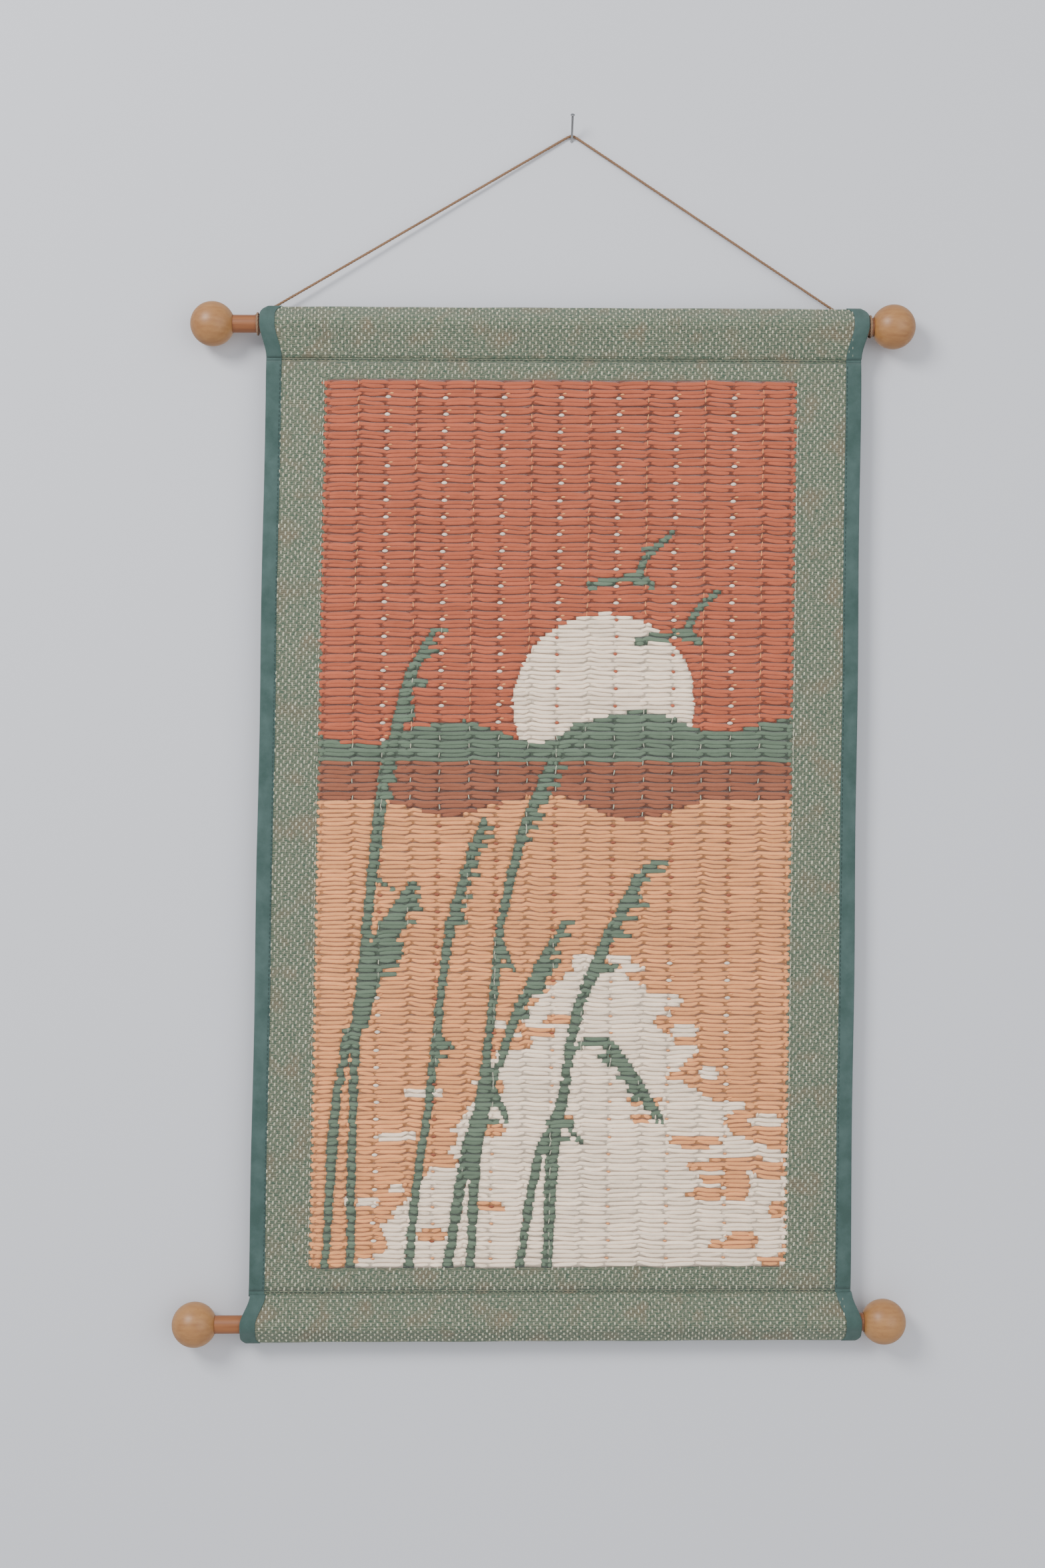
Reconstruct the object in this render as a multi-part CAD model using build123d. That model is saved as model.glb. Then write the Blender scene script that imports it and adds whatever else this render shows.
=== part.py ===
from build123d import *
import math
import os

# Tapestry wall hanging. Millimetres, +Z up, +X right seen from the front, front faces -Y.
# The wall is the plane y = 0 and the origin is the point where the nail goes into it.

# Driving dimensions: hanging hardware
NAIL_RADIUS = 0.75
NAIL_GRIP = 0.2
NAIL_GRIP_OUT = 0.3
NAIL_SHOULDER = 0.3
NAIL_OUT = 20.0
NAIL_IN_WALL = 12.0
NAIL_TIP = 3.0
NAIL_TILT = 40.0
NAIL_HEAD_RADIUS = 1.4
NAIL_HEAD_THICKNESS = 0.8
CORD_DIAMETER = 1.9
CORD_OFF_WALL = 0.35
NAIL_CLEARANCE = 0.1
KNOT_RADIUS = 2.3
KNOT_CLEARANCE = 0.69
KNOT_UP = (6.5, -3.0)

# Driving dimensions: rods and balls
ROD_DIAMETER = 12.0
BALL_DIAMETER = 30.0
BORE_END_GAP = 1.0
BALL_FIT = 0.04
ROD_DROP = 130.0

# Driving dimensions: cloth
CLOTH_WIDTH = 402.0
CLOTH_THICKNESS = 1.2
CLOTH_LEAN = 0.0157
CLOTH_SHIFT = -5.6
PANEL_HEIGHT = 622.5
WEFT_RELIEF = 0.7
BINDING_WIDTH = 10.5
BINDING_THICKNESS = 0.5
THREAD = 0.5

# Driving dimensions: sleeves
SLEEVE_FIT = 0.06
SLEEVE_FOLD = 12.5
UPPER_SLEEVE_SEAM = 23.5
LOWER_SLEEVE_SEAM = 20.6
UPPER_FLARE = 4.5
LOWER_FLARE = 6.0
EDGE_RADIUS = 0.3
HINGE_CLEARANCE = 0.35
UPPER_SHOWS_LEFT = 18.0
UPPER_SHOWS_RIGHT = 3.4
LOWER_SHOWS_RIGHT = 1.5
UPPER_SLEEVE_X = -5.35
LOWER_SLEEVE_X = -14.65

# Driving dimensions: picture
PICTURE_WIDTH = 318.0
PICTURE_HEIGHT = 594.0
PICTURE_SHIFT = -2.0
PICTURE_DROP = 13.0
SUN_RADIUS = 61.0
SUN_CENTRE = (191, 218)
HORIZON = 256

# Worked out from the driving dimensions
BALL_RADIUS = BALL_DIAMETER / 2
ROD_RADIUS = ROD_DIAMETER / 2
CORD_RADIUS = CORD_DIAMETER / 2
KNOT_REACH = (ROD_RADIUS + SLEEVE_FIT + 2 * BINDING_THICKNESS + CLOTH_THICKNESS
              + KNOT_CLEARANCE + CORD_RADIUS)
ROD_Y = -BALL_RADIUS
BALL_GRIP = math.sqrt(BALL_RADIUS ** 2 - ROD_RADIUS ** 2)
HALF_BINDING = CLOTH_THICKNESS / 2 + BINDING_THICKNESS
HINGE_GAP = HALF_BINDING + HINGE_CLEARANCE
UPPER_SLEEVE_WIDTH = CLOTH_WIDTH + 2 * UPPER_FLARE
LOWER_SLEEVE_WIDTH = CLOTH_WIDTH + 2 * LOWER_FLARE
ROD_SPAN = UPPER_SLEEVE_WIDTH + UPPER_SHOWS_LEFT + UPPER_SHOWS_RIGHT + 2 * BALL_GRIP
UPPER_ROD_Z = -ROD_DROP
UPPER_SEAM_Z = UPPER_ROD_Z - UPPER_SLEEVE_SEAM
PANEL_TOP = UPPER_SEAM_Z - HINGE_GAP
PANEL_BOTTOM = PANEL_TOP - PANEL_HEIGHT
LOWER_SEAM_Z = PANEL_BOTTOM - HINGE_GAP
LOWER_ROD_Z = LOWER_SEAM_Z - LOWER_SLEEVE_SEAM
PICTURE_TOP = PANEL_TOP - PICTURE_DROP
UPPER_ENDS = (UPPER_SLEEVE_X - UPPER_SLEEVE_WIDTH / 2, UPPER_SLEEVE_X + UPPER_SLEEVE_WIDTH / 2)
LOWER_ENDS = (LOWER_SLEEVE_X - LOWER_SLEEVE_WIDTH / 2, LOWER_SLEEVE_X + LOWER_SLEEVE_WIDTH / 2)
UPPER_ROD_X = UPPER_ENDS[1] + UPPER_SHOWS_RIGHT + BALL_GRIP - ROD_SPAN / 2
LOWER_ROD_X = LOWER_ENDS[1] + LOWER_SHOWS_RIGHT + BALL_GRIP - ROD_SPAN / 2

# Outlines of the picture: (across from its left edge, down from its top edge)
HILL_LINE = [(0, 240), (37, 245), (62, 236), (98, 230), (148, 245), (175, 234), (213, 221), (262, 237), (318, 227)]
SHORE_LINE = [(0, 283), (48, 284), (92, 293), (126, 284), (163, 280), (212, 297), (254, 285), (318, 284)]
REFLECTION = [(203, 386), (220, 396), (224, 412), (234, 426), (242, 442), (250, 455), (248, 468),
              (262, 480), (280, 490), (288, 508), (304, 514), (318, 522), (318, 594), (30, 594), (48, 580),
              (47, 566), (58, 556), (72, 542), (82, 526), (92, 514), (98, 500), (108, 485), (112, 470),
              (122, 452), (134, 446), (140, 430), (152, 412), (168, 400), (178, 386)]

# Reeds and birds: strokes as (across, down, half width); a stem is measured across, a leaf up and down
STEMS = [
    [(27, 594, 2.5), (27, 492, 2.5), (33, 394, 3), (41, 296, 3.5), (50, 246, 5.5), (62, 197, 7), (78, 168, 2)],
    [(10, 594, 2), (15, 492, 2), (27, 425, 4)],
    [(30, 425, 4), (38, 395, 7), (48, 370, 7), (67, 338, 2)],
    [(66, 594, 2.5), (77, 492, 2.5), (84, 400, 2.5), (96, 345, 3.5), (109, 305, 4), (114, 296, 2)],
    [(92, 594, 3), (106, 512, 5), (117, 443, 3), (123, 365, 2.5), (138, 305, 4), (155, 262, 5), (176, 230, 2)],
    [(107, 594, 2.5), (111, 500, 4), (118, 463, 3), (140, 415, 5), (160, 374, 4), (171, 363, 2)],
    [(140, 594, 2.5), (152, 520, 4), (168, 470, 3)],
    [(159, 594, 2.5), (162, 500, 4), (172, 443, 3), (188, 394, 5), (207, 350, 6), (222, 325, 2)],
]
LEAF = [(170, 461, 3), (181, 446, 3), (191, 443, 3), (203, 452, 5), (226, 482, 5), (233, 494, 2)]
BIRD_BODY = [(-33, 6, 1.5), (-20, 2, 2.5), (0, 0, 3.5), (13, 6, 1.5)]
BIRD_WING = [(2, 2, 4), (4, -9, 3), (9, -19, 3), (24, -29, 2)]
BIRDS = [(211, 133), (244, 171)]


def cloth_x(z):
    """Middle of the panel at a height: it leans sideways as it goes down."""
    return CLOTH_SHIFT + CLOTH_LEAN * (z - PANEL_TOP)


def on_cloth(across, z):
    """A point of the panel, from its middle line and a height, in the plane of the cloth."""
    return (cloth_x(z) + across, z)


def on_picture(across, down):
    """A point of the picture, from its top left corner."""
    return on_cloth(PICTURE_SHIFT - PICTURE_WIDTH / 2 + across, PICTURE_TOP - down)


def slab(outline, back, thickness):
    """A flat piece of cloth from an outline in x and z, with its back face at the depth given."""
    sheet = Plane.XZ.offset(-back) * outline
    return extrude(sheet, thickness)


def panel_strip(left, right):
    """An upright strip of the panel between two distances from its middle line."""
    corners = [on_cloth(left, PANEL_TOP), on_cloth(right, PANEL_TOP),
               on_cloth(right, PANEL_BOTTOM), on_cloth(left, PANEL_BOTTOM)]
    return make_face(Polyline(*corners, close=True))


def rod_along_x(radius, left, right, z):
    """A round bar between two places across the object, at the rods' distance from the wall."""
    bar = Plane.YZ.offset(left) * Location((ROD_Y, z)) * Circle(radius)
    return extrude(bar, right - left)


def save(shape, node):
    """Write one piece to its own file."""
    export_step(shape, f"parts/{node}.step")


def make_nail():
    """A thin round nail with a flat head, tilted head up; the part in the wall is twilled for grip
    and NAIL_GRIP thicker over its ridges, and it ends in a cone at the tip and at the shoulder."""
    shank = extrude(Circle(NAIL_RADIUS), NAIL_OUT)
    grip = extrude(Circle(NAIL_RADIUS + NAIL_GRIP), NAIL_IN_WALL + NAIL_GRIP_OUT)
    shank += Pos(0, 0, -NAIL_IN_WALL) * grip
    shoulder = Cone(NAIL_RADIUS + NAIL_GRIP, NAIL_RADIUS, NAIL_SHOULDER)
    shank += Pos(0, 0, NAIL_GRIP_OUT + NAIL_SHOULDER / 2) * shoulder
    head = Pos(0, 0, NAIL_OUT) * extrude(Circle(NAIL_HEAD_RADIUS), NAIL_HEAD_THICKNESS)
    tip = Pos(0, 0, -NAIL_IN_WALL - NAIL_TIP / 2) * Cone(NAIL_RADIUS / 10, NAIL_RADIUS + NAIL_GRIP, NAIL_TIP)
    return Rot(90 - NAIL_TILT, 0, 0) * (shank + head + tip)


def knot_place(side):
    """Middle of the knot at one mouth of the upper sleeve: side is 0 for left and 1 for right."""
    outward = (-1, 1)[side]
    x = UPPER_ENDS[side] + outward * (CORD_OFF_WALL + KNOT_RADIUS)
    back = math.sqrt(KNOT_REACH ** 2 - KNOT_UP[side] ** 2)
    return Vector(x, ROD_Y + back, UPPER_ROD_Z + KNOT_UP[side])


def make_tie(side):
    """One turn of cord round the rod at the sleeve's mouth, with its knot at the back."""
    outward = (-1, 1)[side]
    ring_x = UPPER_ENDS[side] + outward * (CORD_OFF_WALL + CORD_RADIUS)
    ring = Torus(ROD_RADIUS + CORD_RADIUS + BALL_FIT, CORD_RADIUS)
    ring = Pos(ring_x, ROD_Y, UPPER_ROD_Z) * Rot(0, 90, 0) * ring
    return ring + Pos(*knot_place(side)) * Sphere(KNOT_RADIUS)


def cord_over_nail():
    """Depth, height and bend radius of the cord's middle line where it goes over the nail."""
    depth = CORD_RADIUS + CORD_OFF_WALL
    reach = NAIL_RADIUS + CORD_RADIUS + NAIL_CLEARANCE
    tilt = math.radians(NAIL_TILT)
    return depth, (reach + depth * math.sin(tilt)) / math.cos(tilt), reach


def make_cord():
    """Two straight runs from knot to nail to knot, with an arc of the nail's size at the top."""
    depth, top, bend = cord_over_nail()
    left, right = knot_place(0), knot_place(1)
    corner = Vector(0, -depth, top)
    turn = 180 - (left - corner).get_angle(right - corner)
    corner = corner + Vector(0, 0, bend * (1 / math.cos(math.radians(turn / 2)) - 1))
    route = FilletPolyline(left, corner, right, radius=bend)
    section = Plane(origin=route @ 0, z_dir=route % 0) * Circle(CORD_RADIUS)
    tube = sweep(section, path=route)
    plain = math.pi * CORD_RADIUS ** 2 * route.length
    print(f"cord: length {route.length:.1f}, turn {turn:.1f} degrees, bend radius {bend:.2f}")
    print(f"cord: volume {tube.volume:.1f}, section times length {plain:.1f}")
    return tube


def make_ball(centre_x, z, outward):
    """A ball with a blind bore that takes the end of its rod, both turned about the rod's axis."""
    half_disc = Circle(BALL_RADIUS) & Pos(0, BALL_RADIUS) * Rectangle(BALL_DIAMETER, BALL_DIAMETER)
    bore_length = BALL_DIAMETER + BORE_END_GAP
    bore_middle = outward * (BORE_END_GAP - bore_length / 2)
    bore = Pos(bore_middle, 0) * Rectangle(bore_length, 2 * (ROD_RADIUS + BALL_FIT))
    return Pos(centre_x, ROD_Y, z) * revolve(half_disc - bore, Axis.X)


def sleeve_section(grow, seam_z, fold_z, rod_z):
    """Almond outline of the folded cloth round the rod: a round at the rod and one at each edge.

    grow is how far outside the hollow for the rod the outline lies."""
    inward = 1 if fold_z > seam_z else -1
    edge = EDGE_RADIUS + grow
    inset = EDGE_RADIUS + CLOTH_THICKNESS + 2 * BINDING_THICKNESS
    rounds = [(rod_z, ROD_RADIUS + SLEEVE_FIT + grow),
              (fold_z - inward * inset, edge), (seam_z + inward * inset, edge)]
    edges = [Pos(ROD_Y, z) * Edge.make_circle(radius) for z, radius in rounds]
    return make_hull(edges)


def sleeve_length(left, right, grow, places):
    """The almond outline carried along x."""
    return extrude(Plane.YZ.offset(left) * sleeve_section(grow, *places), right - left)


def make_sleeve(ends, places):
    """The folded cloth of one sleeve, open at both ends."""
    left, right = ends[0] + BINDING_THICKNESS, ends[1] - BINDING_THICKNESS
    outside = sleeve_length(left, right, BINDING_THICKNESS + CLOTH_THICKNESS, places)
    inside = sleeve_length(left - 1, right + 1, BINDING_THICKNESS, places)
    return outside - inside


def make_sleeve_binding(ends, places, side, sleeve):
    """Tape folded over one mouth of the sleeve, inside and outside."""
    outward = (-1, 1)[side]
    mouth = ends[side]
    inner = mouth - outward * BINDING_WIDTH
    left, right = min(mouth, inner), max(mouth, inner)
    outside = sleeve_length(left, right, 2 * BINDING_THICKNESS + CLOTH_THICKNESS, places)
    inside = sleeve_length(left - 1, right + 1, 0, places)
    return outside - inside - sleeve


def make_seam_thread(ends, places, inward):
    """One straight thread on the front of the sleeve, a little inside its seam.

    The sleeve's front slopes outwards from its seam edge to the rod, so the thread sits in front
    of the slope: edge radius plus height times the slope's sine, divided by its cosine."""
    seam_z, _, rod_z = places
    edge = EDGE_RADIUS + BINDING_THICKNESS + CLOTH_THICKNESS
    inset = EDGE_RADIUS + CLOTH_THICKNESS + 2 * BINDING_THICKNESS
    edge_z = seam_z + inward * inset
    slope = math.asin((ROD_RADIUS + SLEEVE_FIT - EDGE_RADIUS) / abs(rod_z - edge_z))
    front = (edge + THREAD * math.sin(slope)) / math.cos(slope)
    left, right = ends[0] + BINDING_WIDTH, ends[1] - BINDING_WIDTH
    place = Pos((left + right) / 2, ROD_Y - front - THREAD / 2, edge_z + inward * THREAD / 2)
    return place * Box(right - left, THREAD, THREAD)


def make_panel():
    """The ground cloth between the seams."""
    half = CLOTH_WIDTH / 2 - BINDING_THICKNESS
    return slab(panel_strip(-half, half), ROD_Y + CLOTH_THICKNESS / 2, CLOTH_THICKNESS)


def make_panel_binding(outward, panel):
    """Tape folded round one edge of the panel."""
    edge, inner = outward * CLOTH_WIDTH / 2, outward * (CLOTH_WIDTH / 2 - BINDING_WIDTH)
    strip = panel_strip(min(edge, inner), max(edge, inner))
    return slab(strip, ROD_Y + HALF_BINDING, 2 * HALF_BINDING) - panel


def make_binding_thread(outward):
    """The thread along the inner edge of one binding."""
    inner = outward * (CLOTH_WIDTH / 2 - BINDING_WIDTH + 2 * THREAD)
    strip = panel_strip(inner - THREAD / 2, inner + THREAD / 2)
    return slab(strip, ROD_Y - HALF_BINDING, THREAD / 2)


def stroke(points, upright):
    """A tapered stroke of yarn: its two edges lie half a width either side of its middle line."""
    step = (1, 0) if upright else (0, 1)
    near = [on_picture(a - w * step[0], d - w * step[1]) for a, d, w in points]
    far = [on_picture(a + w * step[0], d + w * step[1]) for a, d, w in points]
    return make_face(Polyline(*near, *reversed(far), close=True))


def band(line):
    """Everything in the picture from a wavy line down to its lower edge."""
    top = Spline(*[on_picture(*point) for point in line])
    low_right, low_left = on_picture(PICTURE_WIDTH, PICTURE_HEIGHT), on_picture(0, PICTURE_HEIGHT)
    sides = Polyline(top @ 1, low_right, low_left, top @ 0)
    return make_face(top + sides)


def below(down):
    """Everything in the picture below a level line."""
    return picture_box(down, PICTURE_HEIGHT)


def picture_box(top, bottom):
    """A full-width piece of the picture between two levels."""
    corners = [on_picture(0, top), on_picture(PICTURE_WIDTH, top),
               on_picture(PICTURE_WIDTH, bottom), on_picture(0, bottom)]
    return make_face(Polyline(*corners, close=True))


def draw_reeds():
    """All stems with the bent leaf."""
    reeds = stroke(LEAF, upright=False)
    for stem in STEMS:
        reeds = reeds + stroke(stem, upright=True)
    return reeds


def draw_birds():
    """Two birds: a body with a tail, and a raised wing."""
    birds = Sketch()
    for x, y in BIRDS:
        birds = birds + stroke([(x + a, y + d, w) for a, d, w in BIRD_BODY], upright=False)
        birds = birds + stroke([(x + a, y + d, w) for a, d, w in BIRD_WING], upright=True)
    return birds


def draw_picture():
    """The outline of each yarn colour, cut so that no two colours cover the same place."""
    reeds, birds = draw_reeds(), draw_birds()
    sun = Pos(*on_picture(*SUN_CENTRE)) * Circle(SUN_RADIUS)
    hills, shore = band(HILL_LINE), band(SHORE_LINE)
    reflection = make_face(Polyline(*[on_picture(*point) for point in REFLECTION], close=True))
    front = reeds + birds
    return {
        "sky_weft": picture_box(0, PICTURE_HEIGHT) - hills - sun - front,
        "sun_weft": sun - hills - front,
        "hill_weft": hills - below(HORIZON) - front,
        "shore_weft": below(HORIZON) - shore - front,
        "water_weft": shore - reflection - front,
        "reflection_weft": reflection - front,
        "reed_weft": reeds,
        "bird_weft": birds,
    }


def make_rods_and_balls():
    """Both rods, each with a ball at either end."""
    for name, x, z in (("upper", UPPER_ROD_X, UPPER_ROD_Z), ("lower", LOWER_ROD_X, LOWER_ROD_Z)):
        half = ROD_SPAN / 2
        save(rod_along_x(ROD_RADIUS, x - half, x + half, z), f"{name}_rod")
        save(make_ball(x - half, z, -1), f"{name}_left_ball")
        save(make_ball(x + half, z, 1), f"{name}_right_ball")


def make_sleeves():
    """Both sleeves with the tape over their mouths and the thread along their seams."""
    upper = (UPPER_SEAM_Z, UPPER_ROD_Z + SLEEVE_FOLD, UPPER_ROD_Z)
    lower = (LOWER_SEAM_Z, LOWER_ROD_Z - SLEEVE_FOLD, LOWER_ROD_Z)
    for name, ends, places, inward in (("upper", UPPER_ENDS, upper, 1), ("lower", LOWER_ENDS, lower, -1)):
        sleeve = make_sleeve(ends, places)
        save(sleeve, f"{name}_sleeve")
        save(make_sleeve_binding(ends, places, 0, sleeve), f"{name}_sleeve_binding_left")
        save(make_sleeve_binding(ends, places, 1, sleeve), f"{name}_sleeve_binding_right")
        save(make_seam_thread(ends, places, inward), f"{name}_seam_thread")


def make_cloth():
    """The panel, its bindings and threads, and the yarns of the picture on its front."""
    panel = make_panel()
    save(panel, "ground_cloth")
    for name, outward in (("left", -1), ("right", 1)):
        save(make_panel_binding(outward, panel), f"panel_binding_{name}")
        save(make_binding_thread(outward), f"binding_thread_{name}")
    for node, outline in draw_picture().items():
        save(slab(outline, ROD_Y - CLOTH_THICKNESS / 2, WEFT_RELIEF), node)


os.makedirs("parts", exist_ok=True)
save(make_nail(), "wall_nail")
save(make_cord(), "hanging_cord")
save(make_tie(0), "cord_tie_left")
save(make_tie(1), "cord_tie_right")
make_rods_and_balls()
make_sleeves()
make_cloth()
print(f"rod span {ROD_SPAN:.1f}, rods {UPPER_ROD_Z - LOWER_ROD_Z:.1f} apart, lower rod x {LOWER_ROD_X:.2f}")
print(f"hinges at z {PANEL_TOP:.2f} and {PANEL_BOTTOM:.2f}, lower sleeve to z {LOWER_ROD_Z - SLEEVE_FOLD:.2f}")
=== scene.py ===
# %% [markdown]
# # A tapestry wall hanging
# A woven cloth with a picture of reeds, water and a low sun hangs from a wooden rod, and a second
# rod keeps it straight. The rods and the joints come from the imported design, and this file gives
# each visible piece its real surface. Everything is in metres, the wall is the plane y = 0, and
# the front of the hanging faces -Y.

import math

import bpy
import numpy as np
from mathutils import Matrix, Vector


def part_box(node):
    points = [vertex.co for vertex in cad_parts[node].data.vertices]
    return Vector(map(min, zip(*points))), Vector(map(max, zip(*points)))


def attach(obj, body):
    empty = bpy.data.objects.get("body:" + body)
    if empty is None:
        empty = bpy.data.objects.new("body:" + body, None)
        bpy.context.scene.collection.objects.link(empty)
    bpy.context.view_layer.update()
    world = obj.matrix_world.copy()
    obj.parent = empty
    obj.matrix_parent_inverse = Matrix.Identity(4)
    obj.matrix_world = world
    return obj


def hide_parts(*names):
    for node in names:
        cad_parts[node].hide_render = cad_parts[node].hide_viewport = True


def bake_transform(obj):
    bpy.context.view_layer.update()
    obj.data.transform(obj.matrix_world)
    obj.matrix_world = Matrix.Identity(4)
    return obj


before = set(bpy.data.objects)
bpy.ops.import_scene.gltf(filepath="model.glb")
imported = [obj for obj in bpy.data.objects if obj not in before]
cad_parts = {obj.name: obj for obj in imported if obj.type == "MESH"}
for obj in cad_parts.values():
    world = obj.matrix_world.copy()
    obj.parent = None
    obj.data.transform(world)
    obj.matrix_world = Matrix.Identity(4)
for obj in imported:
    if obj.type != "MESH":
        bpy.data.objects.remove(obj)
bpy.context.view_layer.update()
MM = 0.001
rng = np.random.default_rng(7)

# %% [markdown]
# The sizes that the looks share with the design are read from the frame itself: the places of the
# rods, of the panel's hinge lines and of the sleeves' ends come from the boxes of their nodes.

# %% Places from the frame
cloth_low, cloth_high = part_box("ground_cloth")
panel_top, panel_bottom = cloth_high[2], cloth_low[2]
BINDING_THICK = 0.5 * MM
CLOTH_THICK = cloth_high[1] - cloth_low[1]
ROD_Y = (cloth_high[1] + cloth_low[1]) / 2
LEAN = 0.0157
CLOTH_WIDTH = 402 * MM
BINDING_WIDTH = 10.5 * MM
PANEL_X = -5.6 * MM
RODS = {}
for name in ("upper", "lower"):
    low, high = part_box(f"{name}_rod")
    RODS[name] = {"z": (low[2] + high[2]) / 2, "left": low[0], "right": high[0],
                  "radius": (high[2] - low[2]) / 2}
print(f"panel {1000 * panel_top:.1f} to {1000 * panel_bottom:.1f} mm, rods",
      {k: round(1000 * v["z"], 1) for k, v in RODS.items()})


# %% Camera
def srgb(red, green, blue):
    """Linear colour from 0-255 values: ((c + 0.055) / 1.055) to the power 2.4 above the toe."""
    value = np.array([red, green, blue]) / 255
    linear = np.where(value <= 0.04045, value / 12.92, ((value + 0.055) / 1.055) ** 2.4)
    return (*map(float, linear), 1.0)


CAMERA_PLACE = (-0.0637, -1.4789, -0.4772)
CAMERA_TURN = math.radians(1.163)
CAMERA_TILT = math.radians(1.466)
LENS = 50.1
camera_data = bpy.data.cameras.new("camera")
camera_data.lens = LENS
camera_data.sensor_width = 36
camera_data.sensor_fit = "AUTO"
camera = bpy.data.objects.new("camera", camera_data)
camera.location = CAMERA_PLACE
camera.rotation_euler = (math.pi / 2 + CAMERA_TILT, 0, -CAMERA_TURN)
bpy.context.scene.collection.objects.link(camera)
bpy.context.scene.camera = camera


# %% [markdown]
# ## Making meshes
# Every piece below is a table of points worked out with numpy. One helper turns rings of points
# into a closed mesh, and another carries one small spindle shape to thousands of places at once,
# which is how the floats of yarn and the ticks of warp are made.

# %% Mesh helpers
def add_mesh(name, points, faces, material, uv=None, shade=None, smooth=True):
    """A mesh object from points (n, 3) and faces (m, 4). uv and shade have one entry per point."""
    mesh = bpy.data.meshes.new(name)
    faces = np.asarray(faces, dtype=np.int32)
    count, corners = faces.shape
    mesh.vertices.add(len(points))
    mesh.vertices.foreach_set("co", np.asarray(points, dtype=np.float32).ravel())
    mesh.loops.add(count * corners)
    mesh.loops.foreach_set("vertex_index", faces.ravel())
    mesh.polygons.add(count)
    mesh.polygons.foreach_set("loop_start", np.arange(0, count * corners, corners, dtype=np.int32))
    if uv is not None:
        layer = mesh.uv_layers.new(name="Thread")
        layer.data.foreach_set("uv", np.asarray(uv, dtype=np.float32)[faces.ravel()].ravel())
    if shade is not None:
        attribute = mesh.attributes.new("shade", "FLOAT", "POINT")
        attribute.data.foreach_set("value", np.asarray(shade, dtype=np.float32))
    mesh.update()
    mesh.validate()
    mesh.polygons.foreach_set("use_smooth", np.full(len(mesh.polygons), smooth))
    mesh.materials.append(material)
    piece = bpy.data.objects.new(name, mesh)
    bpy.context.scene.collection.objects.link(piece)
    return piece


def ring_faces(rings, around, first=0, flip=False):
    """Quads between neighbouring rings of a closed tube, with the points counted ring by ring."""
    ring, point = np.meshgrid(np.arange(rings - 1), np.arange(around), indexing="ij")
    after = (point + 1) % around
    quads = np.stack([ring * around + point, ring * around + after,
                      (ring + 1) * around + after, (ring + 1) * around + point], -1).reshape(-1, 4)
    return (quads[:, ::-1] if flip else quads) + first


def end_faces(around, first, flip=False):
    """Quads that close one ring with an even number of points: a ladder from side to side."""
    step = np.arange(around // 2 - 1)
    quads = np.stack([step, step + 1, around - 2 - step, around - 1 - step], -1) + first
    return quads if flip else quads[:, ::-1]


def sheet_faces(rows, columns, flip=False):
    """Quads of an open grid of points."""
    row, column = np.meshgrid(np.arange(rows - 1), np.arange(columns - 1), indexing="ij")
    corner = row * columns + column
    quads = np.stack([corner, corner + 1, corner + columns + 1, corner + columns], -1).reshape(-1, 4)
    return quads[:, ::-1] if flip else quads


def unit(vectors):
    """Each vector divided by its length."""
    return vectors / np.maximum(np.linalg.norm(vectors, axis=-1, keepdims=True), 1e-12)


def spindles(start, end, out, width, depth, places, swell, rise, around=6):
    """Many closed spindles, each from start to end. At the share s of its length a spindle has the
    half width width * swell(s) and the half depth depth * swell(s), and its middle stands
    depth * rise(s) out of the cloth. places, swell and rise have one value per ring."""
    along = end - start
    side = unit(np.cross(out, along))
    count, rings = len(start), places.shape[-1]
    middle = start[:, None] + along[:, None] * places[..., None]
    middle = middle + out[:, None] * (depth[:, None] * rise)[..., None]
    angle = np.arange(around) * 2 * math.pi / around
    half_width = (width[:, None] * swell)[..., None, None]
    half_depth = (depth[:, None] * swell)[..., None, None]
    section = (side[:, None, None] * np.cos(angle)[:, None] * half_width
               + out[:, None, None] * np.sin(angle)[:, None] * half_depth)
    points = (middle[:, :, None] + section).reshape(-1, 3)
    one = np.concatenate([ring_faces(rings, around), end_faces(around, 0),
                          end_faces(around, (rings - 1) * around, flip=True)])
    faces = (one[None] + (np.arange(count) * rings * around)[:, None, None]).reshape(-1, 4)
    length = np.linalg.norm(along, axis=-1)
    u = np.broadcast_to((length[:, None] * places)[..., None] / MM, (count, rings, around))
    v = np.broadcast_to(angle / (2 * math.pi), (count, rings, around))
    uv = np.stack([u + rng.uniform(0, 50, count)[:, None, None], v], -1).reshape(-1, 2)
    return points, faces, uv


def tube(path, radius, around=8, closed=False, up=(0.0, 1.0, 0.0)):
    """A round tube along a path: each ring stands square to the path. radius is one value or one
    per point. A closed path joins its last ring to its first."""
    path = np.asarray(path, dtype=float)
    if closed:
        tangent = unit(np.roll(path, -1, 0) - np.roll(path, 1, 0))
    else:
        tangent = unit(np.gradient(path, axis=0))
    side = unit(np.cross(tangent, np.asarray(up, dtype=float)))
    other = np.cross(tangent, side)
    angle = np.arange(around) * 2 * math.pi / around
    radius = np.broadcast_to(np.asarray(radius, dtype=float), len(path))[:, None, None]
    points = path[:, None] + radius * (side[:, None] * np.cos(angle)[:, None] + other[:, None]
                                       * np.sin(angle)[:, None])
    faces = ring_faces(len(path), around)
    if closed:
        here, after = np.arange(around), (np.arange(around) + 1) % around
        last = (len(path) - 1) * around
        faces = np.concatenate([faces, np.stack([last + here, last + after, after, here], -1)])
    else:
        faces = np.concatenate([faces, end_faces(around, 0),
                                end_faces(around, (len(path) - 1) * around, flip=True)])
    step = np.concatenate([[0], np.cumsum(np.linalg.norm(np.diff(path, axis=0), axis=1))]) / MM
    uv = np.stack(np.broadcast_arrays(step[:, None], angle / (2 * math.pi)), -1).reshape(-1, 2)
    return points.reshape(-1, 3), faces, uv


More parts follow.
